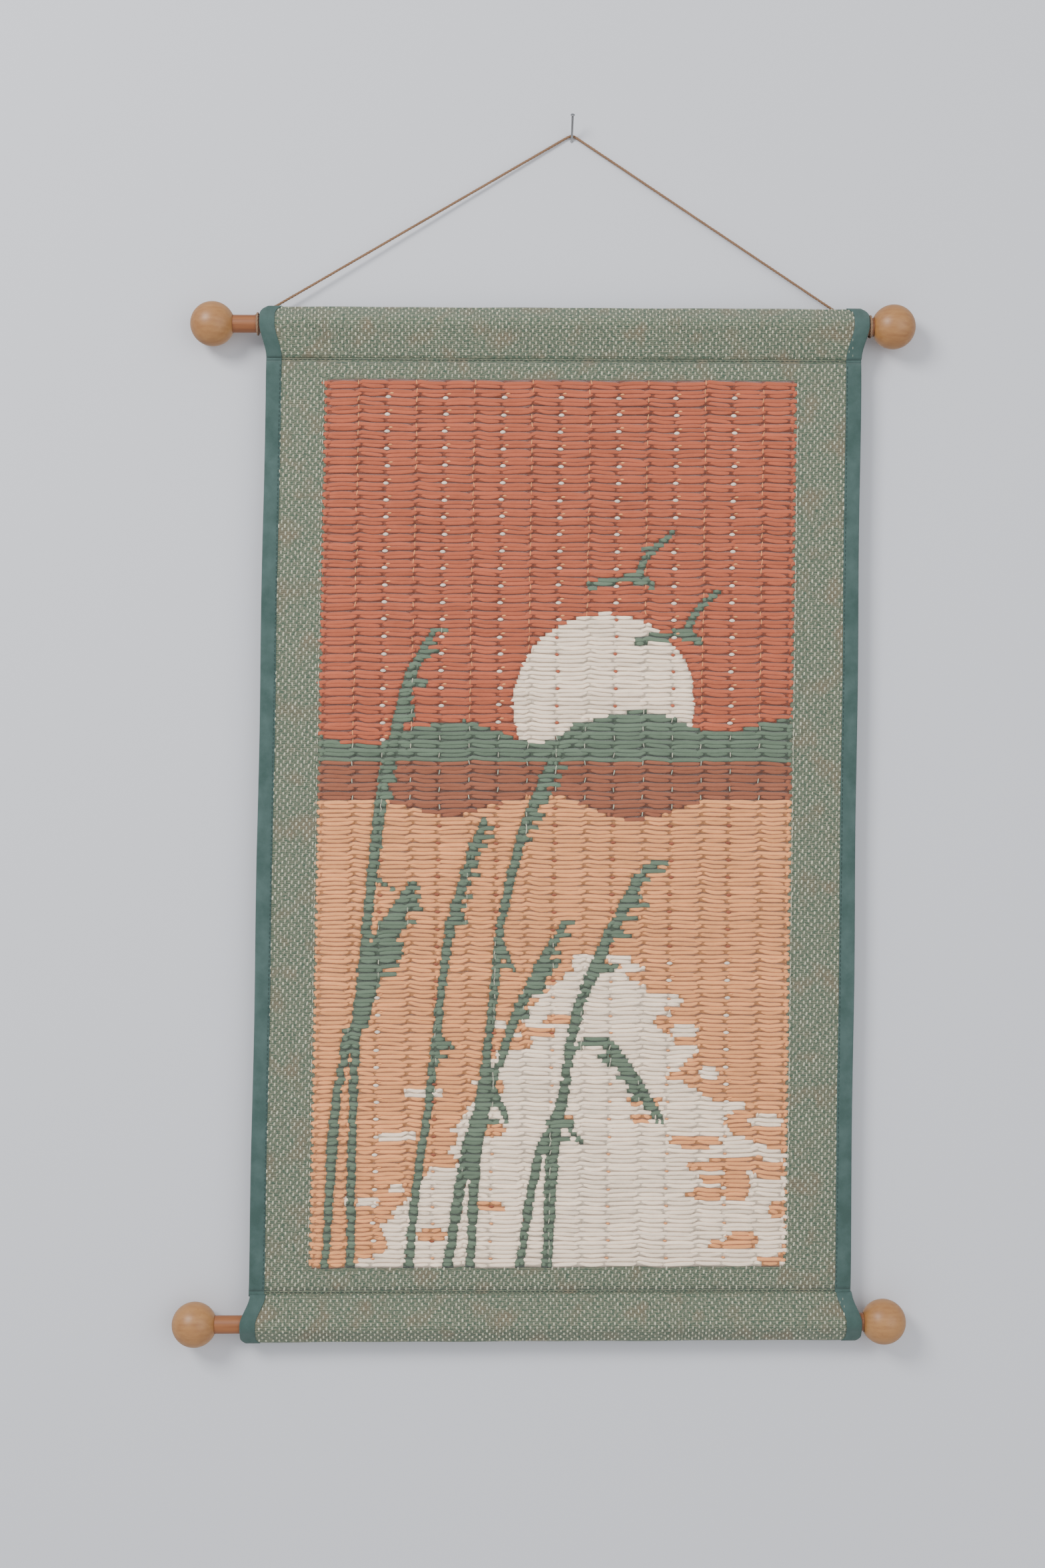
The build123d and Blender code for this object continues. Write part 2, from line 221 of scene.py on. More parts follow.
def join(parts):
    """Several (points, faces, uv) tables as one."""
    first = np.cumsum([0] + [len(points) for points, _, _ in parts[:-1]])
    return (np.concatenate([p for p, _, _ in parts]),
            np.concatenate([f + n for (_, f, _), n in zip(parts, first)]),
            np.concatenate([u for _, _, u in parts]))


# %% [markdown]
# ## Finishes
# Yarn is a bundle of fine fibres with a slight twist. The group below draws the fibres from the
# thread's own coordinates (millimetres along it and a share of a turn around it), and paints shade
# on the sides where one thread lies against the next. Each colour of yarn uses the same group.

# %% Shader helpers
def new_group(name, inputs, outputs):
    """An empty shader group with sockets given as name: (type, default)."""
    group = bpy.data.node_groups.new(name, "ShaderNodeTree")
    for label, (kind, value) in inputs.items():
        socket = group.interface.new_socket(label, in_out="INPUT", socket_type=kind)
        if value is not None:
            socket.default_value = value
    for label, kind in outputs.items():
        group.interface.new_socket(label, in_out="OUTPUT", socket_type=kind)
    return group, group.nodes.new("NodeGroupInput"), group.nodes.new("NodeGroupOutput")


def put(tree, kind, links=None, **settings):
    """A node with its settings; links maps an input's name or number to a socket or a value."""
    node = tree.nodes.new(kind)
    for key, value in settings.items():
        setattr(node, key, value)
    for key, value in (links or {}).items():
        if isinstance(value, bpy.types.NodeSocket):
            tree.links.new(value, node.inputs[key])
        else:
            node.inputs[key].default_value = value
    return node


def blend_colour(tree, factor, first, second, mode="MIX"):
    """Mixes two colours."""
    node = put(tree, "ShaderNodeMix", data_type="RGBA", blend_type=mode)
    for slot, value in ((0, factor), (6, first), (7, second)):
        if isinstance(value, bpy.types.NodeSocket):
            tree.links.new(value, node.inputs[slot])
        else:
            node.inputs[slot].default_value = value
    return node.outputs[2]


def calc(tree, operation, *values):
    """A Math node; each value is a number or a socket."""
    node = put(tree, "ShaderNodeMath", operation=operation)
    for slot, value in enumerate(values):
        if isinstance(value, bpy.types.NodeSocket):
            tree.links.new(value, node.inputs[slot])
        else:
            node.inputs[slot].default_value = value
    return node.outputs[0]


def ramp(tree, value, low, high):
    """0 below low, 1 above high, straight between."""
    return put(tree, "ShaderNodeMapRange", {0: value, 1: low, 2: high}).outputs[0]


def make_yarn_group():
    """Fibres: noise stretched along the thread and turned by its twist; shade darkens or lightens
    a whole thread, and the sides of a thread, where it lies against the next, get painted shade
    that makes them darker than its crown."""
    inputs = {"Colour": ("NodeSocketColor", None), "Painted side shade": ("NodeSocketColor", None),
              "Twist": ("NodeSocketFloat", 0.06), "Side": ("NodeSocketFloat", 0.5)}
    group, enter, leave = new_group("yarn fibres", inputs,
                                    {"Colour": "NodeSocketColor", "Height": "NodeSocketFloat"})
    thread = put(group, "ShaderNodeUVMap", uv_map="Thread")
    split = put(group, "ShaderNodeSeparateXYZ", {0: thread.outputs[0]})
    along, turn = split.outputs[0], split.outputs[1]
    twisted = calc(group, "ADD", turn, calc(group, "MULTIPLY", along, enter.outputs["Twist"]))
    angle = calc(group, "MULTIPLY", twisted, 2 * math.pi)
    place = put(group, "ShaderNodeCombineXYZ", {0: calc(group, "MULTIPLY", along, 0.35),
                                               1: calc(group, "MULTIPLY", calc(group, "COSINE", angle), 2.2),
                                               2: calc(group, "MULTIPLY", calc(group, "SINE", angle), 2.2)})
    fibre = put(group, "ShaderNodeTexNoise",
                {"Vector": place.outputs[0], "Scale": 1.6, "Detail": 4.0, "Roughness": 0.65})
    patch = put(group, "ShaderNodeTexNoise", {"Vector": put(group, "ShaderNodeTexCoord").outputs["Object"],
                                              "Scale": 90.0, "Detail": 2.0})
    # Painted shade: the flanks of the thread, where it lies against its neighbours, are blended toward the
    # painted side shade colour, as far as Side asks.
    crown = calc(group, "ABSOLUTE", calc(group, "SINE", calc(group, "MULTIPLY", turn, 2 * math.pi)))
    side = calc(group, "MULTIPLY", calc(group, "SUBTRACT", 1.0, ramp(group, crown, 0.0, 0.75)),
                enter.outputs["Side"])
    base = blend_colour(group, side, enter.outputs["Colour"], enter.outputs["Painted side shade"])
    shade = put(group, "ShaderNodeAttribute", attribute_name="shade").outputs["Fac"]
    light = calc(group, "ADD", shade, calc(group, "MULTIPLY",
                                           calc(group, "SUBTRACT", fibre.outputs[0], 0.5), 0.5))
    light = calc(group, "ADD", light, calc(group, "MULTIPLY",
                                           calc(group, "SUBTRACT", patch.outputs[0], 0.5), 0.25))
    tone = put(group, "ShaderNodeHueSaturation", {"Color": base, "Value": calc(group, "ADD", light, 1.0)})
    group.links.new(tone.outputs[0], leave.inputs["Colour"])
    group.links.new(fibre.outputs[0], leave.inputs["Height"])
    return group


YARN = make_yarn_group()


def new_material(name):
    """A material with only its Principled shader and output."""
    material = bpy.data.materials.new(name)
    material.use_nodes = True
    return material, material.node_tree, material.node_tree.nodes["Principled BSDF"]


def bump(tree, shader, height, strength, distance):
    """Feeds a height to the shader's normal."""
    node = put(tree, "ShaderNodeBump", {"Strength": strength, "Distance": distance, "Height": height})
    tree.links.new(node.outputs[0], shader.inputs["Normal"])


# painted_side_shade and side give the painted shade on the flanks of each thread.
def yarn_material(name, colour, painted_side_shade, twist=0.06, side=0.5, fuzz=0.25):
    """Soft spun yarn: rough, with a faint sheen from its loose fibres."""
    material, tree, shader = new_material(name)
    yarn = put(tree, "ShaderNodeGroup", node_tree=YARN)
    yarn.inputs["Colour"].default_value = colour
    yarn.inputs["Painted side shade"].default_value = painted_side_shade
    yarn.inputs["Twist"].default_value = twist
    yarn.inputs["Side"].default_value = side
    tree.links.new(yarn.outputs["Colour"], shader.inputs["Base Color"])
    shader.inputs["Roughness"].default_value = 0.85
    shader.inputs["Specular IOR Level"].default_value = 0.2
    shader.inputs["Sheen Weight"].default_value = fuzz
    shader.inputs["Sheen Roughness"].default_value = 0.5
    bump(tree, shader, yarn.outputs["Height"], 0.6, 0.25 * MM)
    return material


# The second colour of each yarn is painted shade for the flanks of its threads.
RUST = yarn_material("rust yarn", srgb(178, 94, 66), srgb(106, 48, 32))
CREAM = yarn_material("cream yarn", srgb(254, 232, 206), srgb(186, 156, 136), side=0.4)
GREEN = yarn_material("green yarn", srgb(100, 116, 97), srgb(46, 58, 46))
BROWN = yarn_material("brown yarn", srgb(146, 89, 66), srgb(84, 44, 31))
APRICOT = yarn_material("apricot yarn", srgb(234, 159, 102), srgb(130, 70, 42))
WARP = yarn_material("warp thread", srgb(184, 184, 161), srgb(136, 137, 113), twist=0.3, side=0.3)
DOT = yarn_material("warp dot", srgb(232, 218, 200), srgb(190, 140, 118), side=0.3)
BROWN_DOT = yarn_material("brown warp dot", srgb(150, 84, 60), srgb(110, 60, 44), side=0.3)
JUTE = yarn_material("jute twine", srgb(138, 106, 80), srgb(70, 48, 34), twist=0.25, side=0.7)
SEWING = yarn_material("sewing thread", srgb(40, 66, 62), srgb(24, 40, 38), twist=0.4, side=0.3)
# The seam thread is dark partly in its own colour and partly as painted shade for the crease along the seam.
SEAM = yarn_material("seam thread", srgb(50, 58, 50), srgb(28, 34, 29), twist=0.4, side=0.3)

# %% [markdown]
# ## The cord, first
# One length of jute twine is tied round the upper rod at each mouth of the sleeve and hangs over
# the nail. It is pulled tight, so its line is two straight stretches with a small bend at the nail.
# A smooth spline gives the line, and three plies wound round that line give the twine.

# %% The cord's line
CORD_DIAMETER = 1.9 * MM
NAIL_TILT = math.radians(40)
left_low, left_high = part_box("cord_tie_left")
right_low, right_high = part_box("cord_tie_right")
KNOT_REACH, KNOT_UP = 9.9 * MM, {"left": 6.5 * MM, "right": -3.0 * MM}


def knot_place(side, low, high):
    """Middle of a knot: behind the ring round the rod, at a set distance from the rod's axis."""
    up = KNOT_UP[side]
    return np.array([(low[0] + high[0]) / 2, ROD_Y + math.sqrt(KNOT_REACH ** 2 - up ** 2),
                     RODS["upper"]["z"] + up])


knot_left = knot_place("left", left_low, left_high)
knot_right = knot_place("right", right_low, right_high)
over_nail = np.array([0.0, -1.3 * MM, 4.1 * MM])
toward_left = unit(knot_left - over_nail)
toward_right = unit(knot_right - over_nail)
NEAR = 6 * CORD_DIAMETER
CORD_ROUTE = [knot_left, knot_left - toward_left * NEAR, over_nail + toward_left * NEAR,
              over_nail + toward_left * 1.5 * MM, over_nail + toward_right * 1.5 * MM,
              over_nail + toward_right * NEAR, knot_right - toward_right * NEAR, knot_right]


def spline_points(name, route, resolution=24):
    """Points along a NURBS spline of order 3 that has the route as its control points."""
    curve = bpy.data.curves.new(name, "CURVE")
    curve.dimensions = "3D"
    spline = curve.splines.new("NURBS")
    spline.points.add(len(route) - 1)
    spline.points.foreach_set("co", np.column_stack([route, np.ones(len(route))]).ravel())
    spline.order_u = 3
    spline.use_endpoint_u = True
    spline.resolution_u = resolution
    holder = bpy.data.objects.new(name, curve)
    mesh = bpy.data.meshes.new_from_object(holder)
    points = np.empty(len(mesh.vertices) * 3)
    mesh.vertices.foreach_get("co", points)
    bpy.data.objects.remove(holder)
    bpy.data.curves.remove(curve)
    bpy.data.meshes.remove(mesh)
    return points.reshape(-1, 3)


def even(points, step):
    """The same line with its points an even step apart."""
    length = np.concatenate([[0], np.cumsum(np.linalg.norm(np.diff(points, axis=0), axis=1))])
    places = np.linspace(0, length[-1], max(3, int(round(length[-1] / step)) + 1))
    return np.stack([np.interp(places, length, points[:, axis]) for axis in range(3)], -1)


def plies(path, count, offset, radius, pitch, around=6, closed=False):
    """Plies of twine: each is a tube whose middle circles the path once in every pitch."""
    path = np.asarray(path)
    tangent = unit(np.roll(path, -1, 0) - np.roll(path, 1, 0)) if closed else unit(np.gradient(path, axis=0))
    side = unit(np.cross(tangent, (0.0, 1.0, 0.03)))
    other = np.cross(tangent, side)
    length = np.concatenate([[0], np.cumsum(np.linalg.norm(np.diff(path, axis=0), axis=1))])
    total = length[-1] + (np.linalg.norm(path[0] - path[-1]) if closed else 0)
    turns = round(total / pitch) if closed else total / pitch
    parts = []
    for ply in range(count):
        angle = 2 * math.pi * (length / total * turns + ply / count)
        middle = path + offset * (np.cos(angle)[:, None] * side + np.sin(angle)[:, None] * other)
        loose = 1 + 0.10 * np.sin(length / (1.7 * MM) + 2 * ply) * np.sin(length / (6.1 * MM) + ply)
        parts.append(tube(middle, radius * loose, around, closed))
    return join(parts)


cord_line = even(spline_points("cord line", CORD_ROUTE), 0.9 * MM)
CORD_LENGTH = float(np.linalg.norm(np.diff(cord_line, axis=0), axis=1).sum())
print(f"cord: {1000 * CORD_LENGTH:.1f} mm long, {len(cord_line)} points")


def fuzz_hairs(path, count, radius, length, thickness):
    """Loose fibres: each is a thin spindle that leaves the twine at a slant."""
    pick = rng.integers(1, len(path) - 2, count)
    tangent = unit(path[pick + 1] - path[pick])
    around = unit(np.cross(tangent, rng.normal(size=(count, 3))))
    start = path[pick] + around * radius
    end = start + (tangent * rng.uniform(-1, 1, (count, 1)) + around * rng.uniform(0.3, 1.0,
                                                                                   (count, 1))) * length
    places = np.broadcast_to(np.array([0.0, 0.5, 1.0]), (count, 3))
    return spindles(start, end, unit(np.cross(tangent, around)), np.full(count, thickness),
                    np.full(count, thickness), places, np.array([1.0, 0.8, 0.3]), np.array([0.0, 1.5, 0.0]),
                    around=4)


def place_piece(name, table, material, body, slot, *nodes, shade=None):
    """Adds a mesh, and says what it rides on and the nodes that it stands for; slot is not used.
    A piece given no body, such as a seam lip, rides on none."""
    points, faces, uv = table
    if shade is None:
        shade = np.zeros(len(points))
    piece = add_mesh(name, points, faces, material, uv, shade)
    if body:
        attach(piece, body)
    if nodes:
        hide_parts(*nodes)
    return piece


cord = place_piece("jute_cord", plies(cord_line, 3, 0.44 * MM, 0.50 * MM, 7 * MM), JUTE, "hanger",
                   "jute_cord", "hanging_cord")
hairs = place_piece("jute_cord_hairs", fuzz_hairs(cord_line, 260, 0.8 * MM, 1.6 * MM, 0.035 * MM), JUTE,
                    "hanger", "jute_cord")


# %% [markdown]
# Each end of the cord goes once round the rod and is tied at the back. The turn is a ring of the
# same twine, and the knot is a trefoil, the shape of a pulled-up overhand knot.

# %% Cord ties
def tie(side, box):
    """A ring round the rod at the sleeve's mouth and a small trefoil knot behind it."""
    low, high = box
    outward = -1 if side == "left" else 1
    mouth = high[0] if side == "left" else low[0]
    ring_x = mouth + outward * CORD_DIAMETER / 2
    angle = np.linspace(0, 2 * math.pi, 48, endpoint=False)
    radius = RODS["upper"]["radius"] + CORD_DIAMETER / 2 + 0.05 * MM
    ring = np.stack([np.full(48, ring_x), ROD_Y + radius * np.cos(angle),
                     RODS["upper"]["z"] + radius * np.sin(angle)], -1)
    turn = np.linspace(0, 2 * math.pi, 72, endpoint=False)
    knot = np.stack([-np.sin(3 * turn), np.sin(turn) + 2 * np.sin(2 * turn),
                     np.cos(turn) - 2 * np.cos(2 * turn)], -1)
    middle = knot_left if side == "left" else knot_right
    knot = middle + knot * np.array([1.1, 0.45, 0.45]) * MM
    return join([plies(ring, 3, 0.42 * MM, 0.48 * MM, 7 * MM, closed=True),
                 plies(knot, 3, 0.36 * MM, 0.42 * MM, 6 * MM, closed=True)])


for side in ("left", "right"):
    place_piece(f"jute_tie_{side}", tie(side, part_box(f"cord_tie_{side}")), JUTE, "hanger", "jute_cord",
                f"cord_tie_{side}")

# %% [markdown]
# ## Rods, balls and nail
# The rods keep their CAD meshes and only get their wood. A ball is turned on a lathe, so it is a
# profile carried round its axis, with the blind bore that takes the end of the rod. Grain is noise
# stretched along the length of the wood, with rings bent round its heart.

# %% Wood
def make_wood_group():
    """Grain: long streaks of noise along x laid over rings, and a few fine dark pores."""
    inputs = {"Light": ("NodeSocketColor", None), "Dark": ("NodeSocketColor", None),
              "Stretch": ("NodeSocketFloat", 12.0)}
    group, enter, leave = new_group("wood grain", inputs,
                                    {"Colour": "NodeSocketColor", "Height": "NodeSocketFloat"})
    place = put(group, "ShaderNodeTexCoord").outputs["Object"]
    split = put(group, "ShaderNodeSeparateXYZ", {0: place})
    shrunk = calc(group, "DIVIDE", split.outputs[0], enter.outputs["Stretch"])
    long_place = put(group, "ShaderNodeCombineXYZ",
                     {0: shrunk, 1: split.outputs[1], 2: split.outputs[2]}).outputs[0]
    streak = put(group, "ShaderNodeTexNoise",
                 {"Vector": long_place, "Scale": 420.0, "Detail": 5.0, "Roughness": 0.6})
    cloud = put(group, "ShaderNodeTexNoise", {"Vector": long_place, "Scale": 60.0, "Detail": 2.0})
    ring = put(group, "ShaderNodeTexWave",
               {"Vector": long_place, "Scale": 90.0, "Distortion": 6.0, "Detail": 2.0},
               wave_type="RINGS", rings_direction="X")
    pore = put(group, "ShaderNodeTexNoise", {"Vector": long_place, "Scale": 1500.0, "Detail": 1.0})
    mix = calc(group, "ADD", calc(group, "MULTIPLY", streak.outputs[0], 0.5),
               calc(group, "MULTIPLY", ring.outputs["Fac"], 0.06))
    mix = calc(group, "ADD", mix, calc(group, "MULTIPLY", cloud.outputs[0], 0.5))
    dark = calc(group, "MAXIMUM", ramp(group, mix, 0.42, 0.75),
                calc(group, "MULTIPLY", ramp(group, pore.outputs[0], 0.66, 0.74), 0.6))
    group.links.new(blend_colour(group, dark, enter.outputs["Light"], enter.outputs["Dark"]),
                    leave.inputs["Colour"])
    group.links.new(calc(group, "SUBTRACT", streak.outputs[0], ramp(group, pore.outputs[0], 0.66, 0.74)),
                    leave.inputs["Height"])
    return group


WOOD = make_wood_group()


def wood_material(name, light, dark, stretch, rough):
    """Sanded wood under a thin satin coat."""
    material, tree, shader = new_material(name)
    wood = put(tree, "ShaderNodeGroup", node_tree=WOOD)
    wood.inputs["Light"].default_value = light
    wood.inputs["Dark"].default_value = dark
    wood.inputs["Stretch"].default_value = stretch
    tree.links.new(wood.outputs["Colour"], shader.inputs["Base Color"])
    shader.inputs["Roughness"].default_value = rough
    shader.inputs["Coat Weight"].default_value = 0.12
    shader.inputs["Coat Roughness"].default_value = 0.4
    bump(tree, shader, wood.outputs["Height"], 0.25, 0.05 * MM)
    return material


ROD_WOOD = wood_material("rod wood", srgb(148, 91, 48), srgb(112, 60, 27), 16.0, 0.5)
BALL_WOOD = wood_material("ball wood", srgb(166, 119, 70), srgb(140, 92, 50), 4.0, 0.45)
for rod in ("upper_rod", "lower_rod"):
    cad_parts[rod].data.materials.clear()
    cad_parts[rod].data.materials.append(ROD_WOOD)


# %% Balls
def lathe(profile, origin, axis, around=64):
    """A profile of (distance along, radius) carried round an axis. Both ends must reach radius 0,
    and each end is closed with a small ring of quads."""
    axis = unit(np.asarray(axis, dtype=float))
    side = unit(np.cross(axis, (0.3, 1.0, 0.2)))
    other = np.cross(axis, side)
    profile = np.asarray(profile)
    angle = np.arange(around) * 2 * math.pi / around
    spoke = side * np.cos(angle)[:, None] + other * np.sin(angle)[:, None]
    points = np.asarray(origin) + profile[:, 0, None, None] * axis + np.maximum(profile[:, 1],
                                                                                1e-5)[:, None, None] * spoke
    faces = np.concatenate([ring_faces(len(profile), around), end_faces(around, 0),
                            end_faces(around, (len(profile) - 1) * around, flip=True)])
    uv = np.stack(np.broadcast_arrays(profile[:, 0, None] / MM, angle / (2 * math.pi)), -1).reshape(-1, 2)
    return points.reshape(-1, 3), faces, uv


def ball_profile(radius, bore, depth):
    """From the bore's blind end out to its mouth, over a small worn edge, and round the sphere."""
    mouth = math.asin(bore / radius)
    edge = 0.5 * MM
    bend = np.linspace(mouth + 0.06, math.pi, 44)
    sphere = np.stack([-radius * np.cos(bend), radius * np.sin(bend)], -1)
    lip = -math.sqrt(radius ** 2 - bore ** 2)
    inside = np.array([[depth, 0.0], [depth, bore * 0.5], [depth, bore], [depth * 0.5 + lip * 0.5, bore],
                       [lip + edge, bore],
                       [lip + 0.1 * edge, bore + 0.25 * edge]])
    return np.concatenate([inside, sphere])


for name in ("upper_left", "upper_right", "lower_left", "lower_right"):
    low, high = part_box(f"{name}_ball")
    rod = RODS[name.split("_")[0]]
    outward = -1 if name.endswith("left") else 1
    radius = (high[2] - low[2]) / 2
    centre = (rod["left"] if outward < 0 else rod["right"], ROD_Y, rod["z"])
    table = lathe(ball_profile(radius, rod["radius"] + 0.04 * MM, 1.0 * MM), centre, (outward, 0, 0))
    place_piece(f"{name}_wooden_ball", table, BALL_WOOD, f"{name}_ball", "ball_wood", f"{name}_ball")

# %% Nail
STEEL, steel_tree, steel = new_material("nail steel")
steel_noise = put(steel_tree, "ShaderNodeTexNoise",
                  {"Vector": put(steel_tree, "ShaderNodeTexCoord").outputs["Object"],
                                                     "Scale": 900.0, "Detail": 3.0})
steel_tree.links.new(blend_colour(steel_tree, steel_noise.outputs[0], srgb(122, 122, 124),
                                  srgb(176, 176, 178)), steel.inputs["Base Color"])
steel_tree.links.new(ramp(steel_tree, steel_noise.outputs[0], -0.6, 1.9), steel.inputs["Roughness"])
steel.inputs["Metallic"].default_value = 1.0
bump(steel_tree, steel, steel_noise.outputs[0], 0.15, 0.03 * MM)
NAIL_PROFILE = np.array([[-15, 0], [-14.9, 0.1], [-12, 0.95], [0.2, 0.95], [0.3, 0.75], [12, 0.75],
                         [16, 0.75], [16.3, 0.83], [16.6, 0.75],
                         [17.2, 0.83], [17.5, 0.75], [18.1, 0.83], [18.4, 0.75], [19.7, 0.76], [20.0, 1.05],
                         [20.1, 1.36],
                         [20.4, 1.4], [20.68, 1.33], [20.78, 1.1], [20.8, 0.5], [20.8, 0]]) * MM
nail_table = lathe(NAIL_PROFILE, (0, 0, 0), (0, -math.cos(NAIL_TILT), math.sin(NAIL_TILT)), around=24)
place_piece("picture_nail", nail_table, STEEL, "wall", "nail_steel", "wall_nail")


# %% [markdown]
# ## The ground cloth
# The ground is a ribbed weave: grey-green weft with pale warp threads that come up as short upright
# ticks in staggered rows. The cloth itself is a thin closed sheet whose shader draws the weft, and
# the ticks are real spindles on its surface. The same two steps cover the panel and both sleeves.

# %% Ground weave
TICK_ACROSS = 4.5 * MM
TICK_DOWN = 2.6 * MM


def make_ground_group():
    """Weft ribs from the piece's own coordinates in millimetres: a wave down the cloth, broken by
    noise into short picks, with mixed grey-green, sage and brownish fibres, and painted shade in
    the gaps between the ribs."""
    group, enter, leave = new_group("ground weave", {"Reverse": ("NodeSocketFloat", 0.0)},
                                    {"Colour": "NodeSocketColor", "Height": "NodeSocketFloat"})
    place = put(group, "ShaderNodeUVMap", uv_map="Thread").outputs[0]
    split = put(group, "ShaderNodeSeparateXYZ", {0: place})
    across, down = split.outputs[0], split.outputs[1]
    wobble = put(group, "ShaderNodeTexNoise", {"Vector": place, "Scale": 0.25, "Detail": 1.0}).outputs[0]
    down_phase = calc(group, "ADD", calc(group, "MULTIPLY", down, 2 * math.pi / 1.3),
                      calc(group, "MULTIPLY", wobble, 5.0))
    rib = calc(group, "MULTIPLY_ADD", calc(group, "SINE", down_phase), 0.5, 0.5)
    cross = calc(group, "MULTIPLY_ADD", calc(group, "SINE",
                                             calc(group, "MULTIPLY", across, 2 * math.pi / 2.25)), 0.5, 0.5)
    picks = put(group, "ShaderNodeTexNoise", {"Vector": put(group, "ShaderNodeCombineXYZ", {
        0: calc(group, "MULTIPLY", across, 0.45), 1: down}).outputs[0], "Scale": 0.9, "Detail": 3.0,
        "Roughness": 0.7}).outputs[0]
    hue = put(group, "ShaderNodeTexNoise", {"Vector": place, "Scale": 0.05, "Detail": 3.0}).outputs[0]
    mixed = blend_colour(group, ramp(group, picks, 0.4, 0.62), srgb(75, 92, 77), srgb(132, 134, 113))
    mixed = blend_colour(group, calc(group, "MULTIPLY", ramp(group, hue, 0.52, 0.68), 0.35), mixed,
                         srgb(138, 108, 88))
    # Painted shade: the troughs between the ribs are blended toward dark green.
    rib_gap_shade = calc(group, "MULTIPLY", calc(group, "SUBTRACT", 1.0, ramp(group, rib, 0.05, 0.5)),
               ramp(group, picks, 0.35, 0.7))
    mixed = blend_colour(group, calc(group, "MULTIPLY", rib_gap_shade, 0.7), mixed, srgb(48, 56, 46))
    group.links.new(mixed, leave.inputs["Colour"])
    group.links.new(calc(group, "ADD", rib, calc(group, "MULTIPLY", cross, 0.3)), leave.inputs["Height"])
    return group


GROUND_WEAVE = make_ground_group()
GROUND, ground_tree, ground = new_material("ground cloth")
weave = put(ground_tree, "ShaderNodeGroup", node_tree=GROUND_WEAVE)
# Under the picture the cloth is blended toward a dark red-brown that shows only in the gaps between the
# floats: partly the colour of the yarn beneath, partly painted shade in those gaps.
ground_shade = put(ground_tree, "ShaderNodeAttribute", attribute_name="shade").outputs["Fac"]
ground_colour = blend_colour(ground_tree, ground_shade, weave.outputs["Colour"], srgb(120, 72, 54))
ground_tree.links.new(ground_colour, ground.inputs["Base Color"])
ground.inputs["Roughness"].default_value = 0.9
ground.inputs["Specular IOR Level"].default_value = 0.15
ground.inputs["Sheen Weight"].default_value = 0.2
bump(ground_tree, ground, weave.outputs["Height"], 0.8, 0.35 * MM)

# %% Where the panel's cloth lies
PICTURE_WIDE, PICTURE_TALL = 318 * MM, 594 * MM
PICTURE_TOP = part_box("sky_weft")[1][2]
PICTURE_LEFT = -PICTURE_WIDE / 2 - 2 * MM


def ripple(across, z):
    """How far the hanging cloth stands off its plane: low waves, none at the seams."""
    hang = np.clip(np.minimum(panel_top - z, z - panel_bottom) / (40 * MM), 0, 1)
    wave = np.sin(across / (61 * MM) + 1.1) * np.sin(z / (150 * MM)) + 0.5 * np.sin(across / (27 * MM) - z
                                                                                    / (90 * MM))
    return 0.7 * MM * hang * wave


def on_panel(across, z, out=0.0):
    """Points of the panel: across from its leaning middle line, at a height, out from its middle plane."""
    x = PANEL_X + LEAN * (z - panel_top) + across
    return np.stack(np.broadcast_arrays(x, ROD_Y - out - ripple(across, z), z), -1)


def closed_sheet(front, back, uv_scale_points):
    """A closed sheet from two grids of the same shape, joined all round their edges."""
    rows, columns = front.shape[:2]
    points = np.concatenate([front.reshape(-1, 3), back.reshape(-1, 3)])
    face_front = sheet_faces(rows, columns, flip=True)
    face_back = sheet_faces(rows, columns) + rows * columns
    index = np.arange(rows * columns).reshape(rows, columns)
    rim = np.concatenate([index[0, :-1], index[:-1, -1], index[-1, :0:-1], index[:0:-1, 0]])
    after = np.roll(rim, -1)
    sides = np.stack([rim, after, after + rows * columns, rim + rows * columns], -1)
    uv = np.concatenate([uv_scale_points.reshape(-1, 2)] * 2)
    return points, np.concatenate([face_front, face_back, sides]), uv


# %% Panel cloth
half = CLOTH_WIDTH / 2 - BINDING_THICK
z_grid, across_grid = np.meshgrid(np.linspace(panel_top, panel_bottom, 157), np.linspace(-half, half, 101),
                                  indexing="ij")
panel_front = on_panel(across_grid, z_grid, CLOTH_THICK / 2)
panel_back = on_panel(across_grid, z_grid, -CLOTH_THICK / 2)
panel_uv = np.stack([across_grid, z_grid], -1) / MM
# The shade attribute is 1 on the front under the picture, where the dark red-brown is partly painted shade
# between the floats, and 0.35 on the back.
inside = ((across_grid > PICTURE_LEFT + 2 * MM) & (across_grid < PICTURE_LEFT + PICTURE_WIDE - 2 * MM)
          & (z_grid < PICTURE_TOP - 2 * MM) & (z_grid > PICTURE_TOP - PICTURE_TALL + 2 * MM)).astype(float)
panel_shade = np.concatenate([inside.ravel(), 0.35 * inside.ravel()])
panel = place_piece("panel_cloth", closed_sheet(panel_front, panel_back, panel_uv), GROUND, "panel",
                    "ground_cloth",
                    "ground_cloth", shade=panel_shade)


